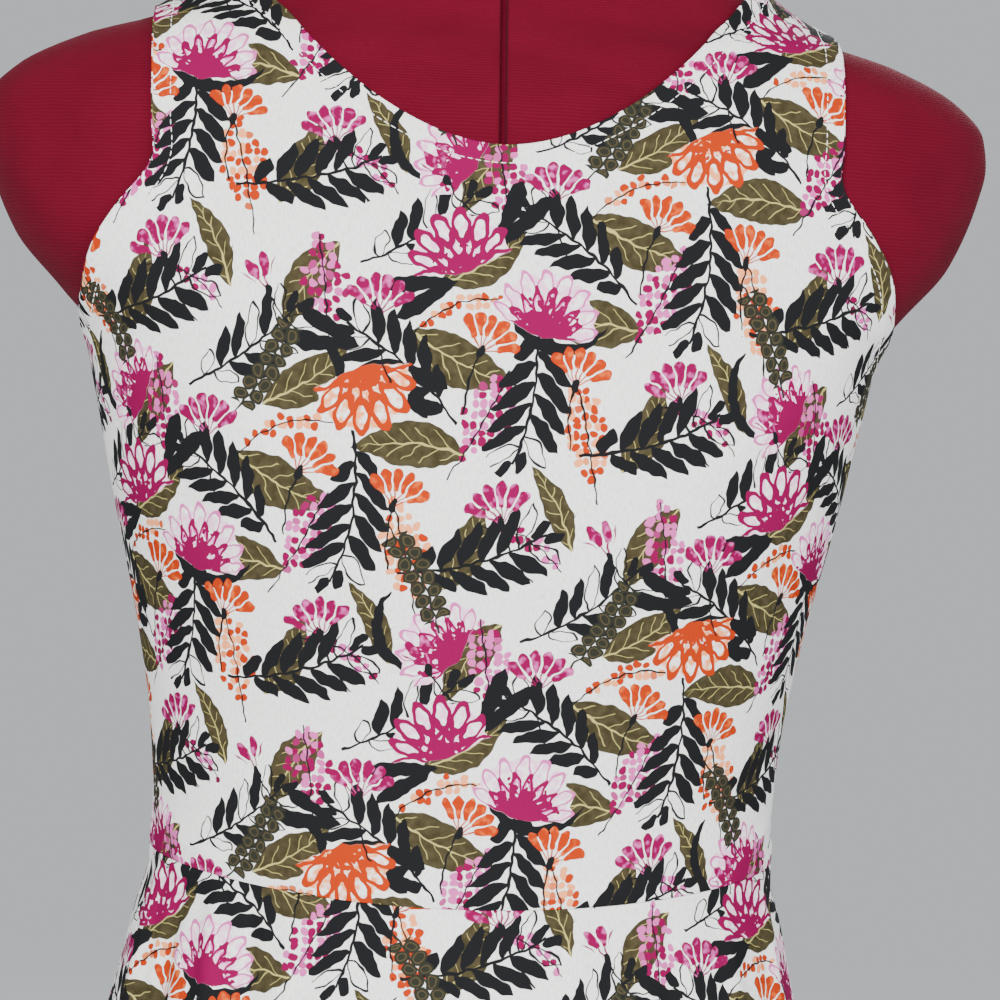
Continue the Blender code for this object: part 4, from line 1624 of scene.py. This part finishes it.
class Dress:
    """The sundress: four printed pieces and the stitches along their turned edges.

    Its turnings, and how far inside a turned band's edge the stitches lie, are in millimetres.
    """

    turning = 8.0
    hem_turning = 20.0
    stitch_inset = 1.0

    def __init__(self) -> None:
        """Lays out the four pieces."""
        front = BodiceCut(side=-1, neck_drop=0.0700, armhole_depth=0.068)
        back = BodiceCut(side=1, neck_drop=0.0340, armhole_depth=0.058)
        self.panels = [
            self.bodice("bodice_front", front, (0.0, -236.0)),
            self.bodice("bodice_back", back, (74.0, -190.0)),
            self.skirt("skirt_front", SkirtCut(-1), (-8.0, -262.0)),
            self.skirt("skirt_back", SkirtCut(1), (40.0, -150.0)),
        ]

    def panel(
        self, node: str, side: int, grid: Grid, edges: tuple[list[Array], ...], turning: float, at: Place
    ) -> ClothPanel:
        """Lays out a piece.

        Args:
            node: the CAD node it stands for.
            side: -1 for the front and 1 for the back.
            grid: its shape.
            edges: its finished, seamed and pressed edges.
            turning: how wide its turned band is, in millimetres.
            at: where on the print its waist's middle lies, in millimetres.

        Returns:
            The piece.
        """
        creases = tuple(Crease(*row) for row in CREASES[node])
        return ClothPanel(node, side, grid, *edges, turning, turning - self.stitch_inset, creases, at)

    def bodice(self, node: str, cut: BodiceCut, at: Place) -> ClothPanel:
        """Lays out one bodice piece, with its neck and armholes turned and its other edges seamed.

        Args:
            node: the CAD node it stands for.
            cut: its cut.
            at: where on the print its waist's middle lies, in millimetres.

        Returns:
            The piece.
        """
        grid = cut.grid()
        neck = np.abs(grid.across) <= NECK_HALF_WIDTH / STRAP_OUTER_X + 1e-6
        underarm = (UNDERARM_Z - SIDE_FOOT_Z) / (SHOULDER_SEAM_TIP - SIDE_FOOT_Z)
        below, above = grid.rows <= underarm + 1e-6, grid.rows >= underarm - 1e-6
        inner = grid.inner
        corner = np.flatnonzero(neck)
        finished = [inner[-1][neck], inner[above, 0], inner[above, -1]]
        shoulders = [inner[-1, : corner[0] + 1], inner[-1, corner[-1] :]]
        seams = [inner[0], inner[below, 0], inner[below, -1], *shoulders]
        pressed = seams if cut.side > 0 else seams[:1]
        return self.panel(node, cut.side, grid, (finished, seams, pressed), self.turning, at)

    def skirt(self, node: str, cut: SkirtCut, at: Place) -> ClothPanel:
        """Lays out one half of the skirt, with its hem turned and its other edges seamed.

        Args:
            node: the CAD node it stands for.
            cut: its cut.
            at: where on the print its waist's middle lies, in millimetres.

        Returns:
            The piece.
        """
        grid = cut.grid()
        sides = [grid.inner[:, 0], grid.inner[:, -1]]
        edges = ([grid.inner[0]], [grid.inner[-1], *sides], sides if cut.side > 0 else [])
        return self.panel(node, cut.side, grid, edges, self.hem_turning, at)

    def build(self) -> None:
        """Builds the pieces and their stitches, hangs them on the body and logs each piece's flat size."""
        cloth, reverse = PrintedJersey().build(), PlainJersey().build()
        thread = Thread().build()
        for panel in self.panels:
            made = panel.build(cloth, reverse)
            lines = [panel.stitch_line(path) for path in panel.finished]
            stitches = Topstitch(panel.node + "_stitches", thread).along(lines)
            for piece in (made, stitches):
                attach(piece, BODY)
            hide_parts(panel.node)
            self.declare(panel)

    def declare(self, panel: ClothPanel) -> None:
        """Logs what the flat piece measures, in metres, and its area.

        Args:
            panel: its layout.
        """
        flat = panel.grid.flat * MM
        low, high = flat.reshape(-1, 2).min(axis=0), flat.reshape(-1, 2).max(axis=0)
        size = (float(high[0] - low[0]), float(high[1] - low[1]))
        down, over = flat[1:, 1:] - flat[:-1, :-1], flat[1:, :-1] - flat[:-1, 1:]
        area = float(np.abs(down[..., 0] * over[..., 1] - down[..., 1] * over[..., 0]).sum() / 2)
        LOG.info("%s: flat %.3f x %.3f m, area %.4f m2", panel.node, *size, area)


@dataclass(frozen=True)
class Topstitch:
    """A row of single stitches along lines, built by a node tree.

    Attributes:
        name: the piece's name.
        thread: the stitches' material.
        pitch: how far apart they are; sizes are metres.
        length: how long one is.
        thickness: how thick one is.
        shortest: the least of the random shares of that length.
        longest: the greatest of them.
        seed: what the random shares follow from.
    """

    name: str
    thread: bpy.types.Material
    pitch: float = 0.0031
    length: float = 0.0025
    thickness: float = 0.00042
    shortest: float = 0.90
    longest: float = 1.08
    seed: int = 7

    def tree(self) -> bpy.types.NodeTree:
        """The node tree: evenly spaced stitches that follow the lines, each a little different."""
        inputs = {"Lines": "Geometry", "Pitch": "Float", "Length": "Float", "Thickness": "Float"}
        inputs |= {"Seed": "Int", "Thread": "Material"}
        group = new_group("topstitch", "GeometryNodeTree", inputs, ("Stitches", "Geometry"))
        tree = ShaderTree(group)
        given = tree.node("NodeGroupInput", {}, {})
        pitch, length, thickness = (tree.out(given, name) for name in ("Pitch", "Length", "Thickness"))
        curve = tree.out(tree.node("GeometryNodeMeshToCurve", {}, {"Mesh": tree.out(given, "Lines")}))
        inputs = {"Curve": curve, "Length": pitch}
        spaced = tree.node("GeometryNodeResampleCurve", {"mode": "LENGTH"}, inputs)
        tangent = tree.out(tree.node("GeometryNodeInputTangent", {}, {}))
        turned = tree.node("FunctionNodeAlignRotationToVector", {"axis": "X"}, {"Vector": tangent})
        ball = tree.node("GeometryNodeMeshUVSphere", {}, {"Segments": 8, "Rings": 6, "Radius": 0.5})
        seed = tree.out(given, "Seed")
        vary = tree.node("FunctionNodeRandomValue", {"data_type": "FLOAT"}, {"Seed": seed})
        tree.fill(vary, {2: self.shortest, 3: self.longest})
        size = tree.joined(length * tree.out(vary, 1), thickness, thickness)
        inputs = {"Points": tree.out(spaced), "Instance": tree.out(ball)}
        inputs |= {"Rotation": tree.out(turned), "Scale": size}
        placed = tree.out(tree.node("GeometryNodeInstanceOnPoints", {}, inputs))
        real = tree.out(tree.node("GeometryNodeRealizeInstances", {}, {"Geometry": placed}))
        inputs = {"Geometry": real, "Material": tree.out(given, "Thread")}
        dressed = tree.out(tree.node("GeometryNodeSetMaterial", {}, inputs))
        smooth = tree.out(tree.node("GeometryNodeSetShadeSmooth", {}, {0: dressed}))
        tree.node("NodeGroupOutput", {}, {0: smooth})
        return group

    def along(self, lines: list[Array]) -> bpy.types.Object:
        """Sews along lines.

        Args:
            lines: points along each line.

        Returns:
            The stitches, as one plain mesh.
        """
        points = np.vstack(lines)
        starts = np.cumsum([0, *map(len, lines)])
        links = [(i, i + 1) for a, b in zip(starts, starts[1:]) for i in range(a, b - 1)]
        paths = bpy.data.meshes.new(self.name)
        paths.from_pydata(points.tolist(), links, [])
        made = show(self.name, paths)
        group = bpy.data.node_groups.get("topstitch") or self.tree()
        modifier = made.modifiers.new("topstitch", "NODES")
        modifier.node_group = group
        values = {"Pitch": self.pitch, "Length": self.length, "Thickness": self.thickness}
        values |= {"Seed": self.seed, "Thread": self.thread}
        for item in group.interface.items_tree:
            if item.in_out == "INPUT" and item.name in values:
                modifier[item.identifier] = values[item.name]
        sewn = bpy.data.meshes.new_from_object(made.evaluated_get(bpy.context.evaluated_depsgraph_get()))
        made.modifiers.remove(modifier)
        made.data = sewn
        return made


# ------------------------------------------------------------------------------------------ the finishes

# What the jersey and the form's cover share: no gloss.
MATT = {"Roughness": 0.92, "Specular IOR Level": 0.06}


class Finish:
    """A material's look. Each kind says what goes into its shader."""

    name: str

    def build(self) -> bpy.types.Material:
        """Builds the material."""
        material = bpy.data.materials.new(self.name)
        material.use_nodes = True
        tree = ShaderTree(material.node_tree)
        tree.fill(material.node_tree.nodes["Principled BSDF"], self.look(tree))
        return material

    def look(self, tree: ShaderTree) -> Sockets:
        """The shader's values and signals, by socket."""
        raise NotImplementedError


@dataclass(frozen=True)
class PlainJersey(Finish):
    """The cloth's unprinted reverse, where the courses of the knit show."""

    name: str = "printed jersey, reverse"
    colour: Colour = (0.66, 0.65, 0.62)
    shade: Colour = (0.52, 0.51, 0.49)
    courses: tuple[float, float, float] = (0.42, 1.25, 1.0)

    def look(self, tree: ShaderTree) -> Sockets:
        """Courses across the cloth, and uneven shade over it."""
        at = tree.on_map(FloralPrint.map_name)
        courses = tree.noise(tree.vectors("MULTIPLY", at, self.courses), 1.0, 1.0)
        share = courses.times_plus(1.2, tree.noise(at, 0.06, 2.0).times_plus(1.4, -0.9))
        colour = tree.mix(self.colour, self.shade, share)
        return {"Base Color": colour, "Normal": tree.relief(courses, 0.35), **MATT}


@dataclass(frozen=True)
class PrintedJersey(Finish):
    """Off-white cotton jersey with the floral print, where the wales of the knit show."""

    name: str = "printed jersey"
    fleck: Colour = (0.70, 0.70, 0.67)
    wales: tuple[float, float, float] = (1.25, 0.42, 1.0)

    def look(self, tree: ShaderTree) -> Sockets:
        """Wales up the cloth, under the print."""
        at = tree.on_map(FloralPrint.map_name)
        wales = tree.noise(tree.vectors("MULTIPLY", at, self.wales), 1.0, 0.5)
        ground = tree.mix(Ink.GROUND.value, self.fleck, wales.times_plus(2.4, -0.95))
        colour = FloralPrint().colour(tree, ground)
        return {"Base Color": colour, "Normal": tree.relief(wales, 0.35), **MATT}


@dataclass(frozen=True)
class RibKnit(Finish):
    """The form's red cover, a fine rib whose pitch is in millimetres."""

    name: str = "red rib knit"
    colour: Colour = (0.104, 0.0036, 0.0134)
    shade: Colour = (0.074, 0.0025, 0.0096)
    pitch: float = 1.4
    sheen: Colour = (0.9, 0.3, 0.35)
    map_name = "Knit"

    def look(self, tree: ShaderTree) -> Sockets:
        """Level ribs that stray a little, with grain and uneven shade."""
        at = tree.on_map(self.map_name)
        _, up = tree.split(at)
        stray = tree.noise(at, 0.12, 2.0)
        rib = tree.maths("SINE", up.times_plus(math.tau / self.pitch, stray * 5.0))
        grain = tree.noise(at, 1.4, 2.0)
        patch = tree.noise(at, 0.035, 3.0)
        share = (rib * 0.28 + grain * 0.5).times_plus(1.0, patch.times_plus(1.1, -0.45))
        colour = tree.mix(self.colour, self.shade, share)
        look = {"Base Color": colour, "Normal": tree.relief(rib.times_plus(0.6, grain), 0.5), **MATT}
        look |= {"Sheen Weight": 0.04, "Sheen Roughness": 0.5, "Sheen Tint": self.sheen}
        return look | {"Specular IOR Level": 0.04}


@dataclass(frozen=True)
class Thread(Finish):
    """White sewing thread, its plies faintly shaded."""

    name: str = "white thread"
    colour: Colour = (0.88, 0.88, 0.85)
    shade: Colour = (0.66, 0.66, 0.62)

    def look(self, tree: ShaderTree) -> Sockets:
        """Shade between the plies."""
        plies = tree.noise(tree.on_object(), 1600.0, 1.0, solid=True)
        colour = tree.mix(self.colour, self.shade, plies.times_plus(2.0, -0.8))
        return {"Base Color": colour, "Roughness": 0.7, "Specular IOR Level": 0.2}


@dataclass(frozen=True)
class HardFinish(Finish):
    """A finish of a hard part, with faint unevenness in its gloss."""

    name: str
    colour: Colour
    roughness: float
    metallic: float = 0.0
    unevenness: float = 0.16

    def look(self, tree: ShaderTree) -> Sockets:
        """One colour, with smudges in the gloss."""
        smudge = tree.noise(tree.on_object(), 30.0, 3.0, solid=True)
        rough = smudge.times_plus(self.unevenness, self.roughness - self.unevenness / 2)
        return {"Base Color": self.colour, "Metallic": self.metallic, "Roughness": rough}


@dataclass(frozen=True)
class PalePaint(Finish):
    """Pale paint underfoot that passes, further out, into an evenly lit wall; distances are metres."""

    name: str = "pale paint"
    colour: Colour = (0.60, 0.61, 0.63)
    light: Colour = (0.92, 0.95, 1.0)
    near: float = 1.2
    far: float = 3.0

    def look(self, tree: ShaderTree) -> Sockets:
        """The paint underfoot."""
        return {"Base Color": self.colour, "Roughness": 0.9}

    def build(self) -> bpy.types.Material:
        """Builds the material, and mixes the wall's glow into it."""
        material = super().build()
        tree = ShaderTree(material.node_tree)
        nodes = material.node_tree.nodes
        away = tree.length(*tree.split(tree.on_object()))
        glow = tree.node("ShaderNodeEmission", {}, {"Color": self.light, "Strength": 0.60})
        settings, inputs = {"interpolation_type": "SMOOTHSTEP"}, {0: away, 1: self.near, 2: self.far}
        share = tree.out(tree.node("ShaderNodeMapRange", settings, inputs))
        shaders = {1: tree.out(nodes["Principled BSDF"]), 2: tree.out(glow)}
        both = tree.node("ShaderNodeMixShader", {}, {0: share, **shaders})
        tree.fill(nodes["Material Output"], {"Surface": tree.out(both)})
        return material


# --------------------------------------------------------------------------------------- form and stand


class DressForm:
    """The red form, in two lofts that meet under the waist seam, and its stand."""

    # Columns: distance from the centre line and depth of the open seam there, in millimetres.
    notch = (
        (0.0, 6.0),
        (0.85, 5.9),
        (1.15, 5.1),
        (1.25, 3.4),
        (1.27, 1.7),
        (1.36, 0.9),
        (1.58, 0.42),
        (1.95, 0.15),
        (2.6, 0.03),
        (3.5, 0.0),
    )
    # Columns: distance from an end and how far the edge is drawn in there, in millimetres.
    rounding = ((0.0, 1.6), (0.25, 0.85), (0.8, 0.25), (1.6, 0.0))
    columns = 190
    row_step = 2.5 * MM
    knit_round = 700.0

    def ring(self, z: Array, inset: Array) -> Array:
        """Level rings of the form's surface, from just right of the centre front round to it again.

        Args:
            z: the rings' heights above the floor.
            inset: how far each is drawn in.

        Returns:
            The rings' points.
        """
        side = np.array([(x * MM, depth * MM) for x, depth in self.notch[1:]])
        wide, _, _, squareness = FORM.at(z)
        first = np.degrees(np.arcsin((side[-1, 0] / wide) ** (squareness / 2.0)))[:, None]
        even = np.linspace(0.0, 1.0, self.columns)[None, :]
        body = FORM.ring(z[:, None], first + (360.0 - 2.0 * first) * even)
        x, z_all = np.broadcast_arrays(side[:-1, 0][None, :], z[:, None])
        y = FORM.depth_at(x, z_all, -1) + side[:-1, 1]
        right = np.stack([x, y, z_all], axis=-1)
        left = right[:, ::-1] * (-1.0, 1.0, 1.0)
        ring = np.concatenate([right, body, left], axis=1)
        level = unit(ring * (1.0, 1.0, 0.0))
        return ring - level * inset[:, None, None]

    def loft(self, name: str, low: float, high: float, knit: bpy.types.Material) -> bpy.types.Object:
        """A closed stretch of the form.

        Args:
            name: the piece's name.
            low: its lower end's height.
            high: its upper end's height.
            knit: its material.

        Returns:
            The piece.
        """
        ends = np.array(self.rounding) * MM
        heights = np.arange(low + 3.0 * MM, high - 2.0 * MM, self.row_step)
        z = np.concatenate([low + ends[:, 0], heights, high - ends[::-1, 0]])
        inset = np.concatenate([ends[:, 1], heights * 0.0, ends[::-1, 1]])
        rings = self.ring(z, inset)
        rows, count = rings.shape[:2]
        index = np.arange(rows * count).reshape(rows, count)
        after = np.roll(index, -1, axis=1)
        quads = np.stack([index[:-1], after[:-1], after[1:], index[1:]], axis=-1).reshape(-1, 4)
        faces = [*quads.tolist(), index[0, ::-1].tolist(), index[-1].tolist()]
        mesh = new_mesh(name, rings, faces, knit)
        steps = np.linalg.norm(np.diff(rings, axis=0), axis=-1).mean(axis=1)
        up = np.concatenate([[0.0], np.cumsum(steps)])
        around = np.linspace(0.0, 1.0, count)
        u, v = (grid.ravel() for grid in np.meshgrid(around, up))
        add_map(mesh, RibKnit.map_name, np.stack([u * self.knit_round, v / MM], axis=-1))
        add_map(mesh, "OFBake", np.stack([u * 0.99 + 0.005, v / up[-1] * 0.94 + 0.055], axis=-1))
        self.map_ends(mesh, rings)
        return show(name, mesh)

    def map_ends(self, mesh: bpy.types.Mesh, rings: Array) -> None:
        """Gives the flat ends, and the column where a ring closes, their own places in the maps.

        Args:
            mesh: the form's mesh.
            rings: its rings' points.
        """
        rows, count = rings.shape[:2]
        for layer in mesh.uv_layers:
            places = np.empty(2 * len(mesh.loops), np.float32)
            layer.data.foreach_get("uv", places)
            places = places.reshape(-1, 2)
            closing = places[: 4 * (rows - 1) * count].reshape(rows - 1, count, 4, 2)
            closing[:, -1, 1:3, 0] = closing[:, -1, 0:1, 0]
            if layer.name == "OFBake":
                for k, ring in enumerate((rings[0, ::-1], rings[-1])):
                    flat = (ring[:, :2] - ring[:, :2].min(axis=0)) / np.ptp(ring[:, :2], axis=0).max()
                    start = 4 * (rows - 1) * count + k * count
                    places[start : start + count] = flat * 0.04 + (0.01 + 0.1 * k, 0.006)
            layer.data.foreach_set("uv", places.ravel())

    def build(self, nodes: dict[str, bpy.types.Object]) -> None:
        """Builds the form and dresses the stand.

        Args:
            nodes: the CAD nodes, by name.
        """
        knit = RibKnit().build()
        spans = {"form_chest": (WAIST_Z, NECK_TOP_Z), "form_hips": (FORM_BOTTOM_Z, WAIST_Z - WAIST_GAP)}
        for node, (low, high) in spans.items():
            piece = self.loft(node + "_knit", low, high, knit)
            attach(piece, BODY)
            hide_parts(node)
        satin = HardFinish("satin black", (0.020, 0.020, 0.022), roughness=0.42).build()
        steel = HardFinish("brushed steel", (0.60, 0.60, 0.61), roughness=0.30, metallic=1.0).build()
        for node, material in (("neck_cap", satin), ("base", satin), ("pole", steel)):
            nodes[node].data.materials.clear()
            nodes[node].data.materials.append(material)


# ------------------------------------------------------------------------------------------- the studio


@dataclass(frozen=True)
class Lamp:
    """A soft square lamp; places are metres."""

    name: str
    place: tuple[float, float, float]
    aim: tuple[float, float, float]
    size: float
    power: float
    colour: Colour = (1.0, 1.0, 1.0)

    def build(self) -> None:
        """Puts the lamp into the scene."""
        light = bpy.data.lights.new(self.name, "AREA")
        light.size, light.energy, light.color = self.size, self.power, self.colour
        made = show(self.name, light)
        made.location = self.place
        made.rotation_euler = (Vector(self.aim) - Vector(self.place)).to_track_quat("-Z", "Y").to_euler()


@dataclass(frozen=True)
class Viewpoint:
    """The camera, in front at chest height, a little to the dress's right and tilted a little."""

    yaw: float = math.radians(3.6)
    roll: float = math.radians(2.3)
    away: float = 1.15
    height: float = 0.959
    aim_beside: float = 0.0099
    aim_height: float = 0.8725
    sensor: float = 36.0
    lens_shares: float = 2.875

    def build(self) -> None:
        """Puts the camera into the scene and looks through it."""
        data = bpy.data.cameras.new("camera")
        data.sensor_width, data.lens = self.sensor, self.sensor * self.lens_shares
        made = show("camera", data)
        sine, cosine = math.sin(self.yaw), math.cos(self.yaw)
        place = Vector((-self.away * sine, -self.away * cosine, self.height))
        aim = Vector((self.aim_beside * cosine, -self.aim_beside * sine, self.aim_height))
        look = (aim - place).to_track_quat("-Z", "Y").to_matrix().to_4x4()
        made.matrix_world = Matrix.Translation(place) @ look @ Matrix.Rotation(self.roll, 4, "Z")
        bpy.context.scene.camera = made


@dataclass(frozen=True)
class Studio:
    """A pale round room whose floor curves up into its wall, soft lamps and the camera."""

    radius: float = 4.5
    bend: float = 1.6
    top: float = 5.0
    sides: int = 96
    bend_rows: int = 13
    inner_rings: tuple[float, ...] = (0.5, 1.5)
    sky: Colour = (0.92, 0.95, 1.0)
    sky_strength: float = 0.4
    lamps = (
        Lamp("key", (-0.55, -2.6, 1.75), (0.0, 0.0, 0.95), 1.3, 144.0),
        Lamp("fill", (1.0, -2.5, 1.15), (0.0, 0.0, 0.9), 1.3, 44.0, (0.95, 0.97, 1.0)),
        Lamp("back", (0.9, 2.6, 2.2), (0.0, 0.0, 0.8), 1.5, 95.0),
    )

    def room(self) -> bpy.types.Object:
        """The room's floor and wall, one smooth surface."""
        turns = np.radians(np.linspace(0.0, 90.0, self.bend_rows))
        out = [*self.inner_rings, *(self.radius - self.bend + self.bend * np.sin(turns)), self.radius]
        up = [0.0, 0.0, *(self.bend - self.bend * np.cos(turns)), self.top]
        angles = np.arange(self.sides) * math.tau / self.sides
        round_it = np.stack([np.cos(angles), np.sin(angles), np.zeros(self.sides)], axis=-1)
        rings = [round_it * r + (0.0, 0.0, z) for r, z in zip(out, up)]
        index = np.arange(len(out) * self.sides).reshape(len(out), self.sides)
        after = np.roll(index, -1, axis=1)
        quads = np.stack([index[:-1], index[1:], after[1:], after[:-1]], axis=-1).reshape(-1, 4)
        faces = [*quads.tolist(), index[0].tolist()]
        return show("room", new_mesh("room", np.vstack(rings), faces, PalePaint().build()))

    def build(self) -> None:
        """Sets up the studio."""
        self.room()
        for lamp in self.lamps:
            lamp.build()
        world = bpy.data.worlds.new("soft light")
        world.use_nodes = True
        sky = {"Color": self.sky, "Strength": self.sky_strength}
        ShaderTree(world.node_tree).fill(world.node_tree.nodes["Background"], sky)
        bpy.context.scene.world = world
        Viewpoint().build()


def main() -> None:
    """Builds the sundress's looks around its CAD part."""
    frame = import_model()
    logging.basicConfig(level=logging.INFO, format="%(name)s: %(message)s")
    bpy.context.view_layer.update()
    Dress().build()
    DressForm().build(frame["nodes"])
    Studio().build()
    for piece in bpy.context.scene.objects:
        if piece.type == "MESH" and not piece.hide_render:
            LOG.info("%s: %d faces", piece.name, len(piece.data.polygons))


if __name__ == "__main__":
    main()
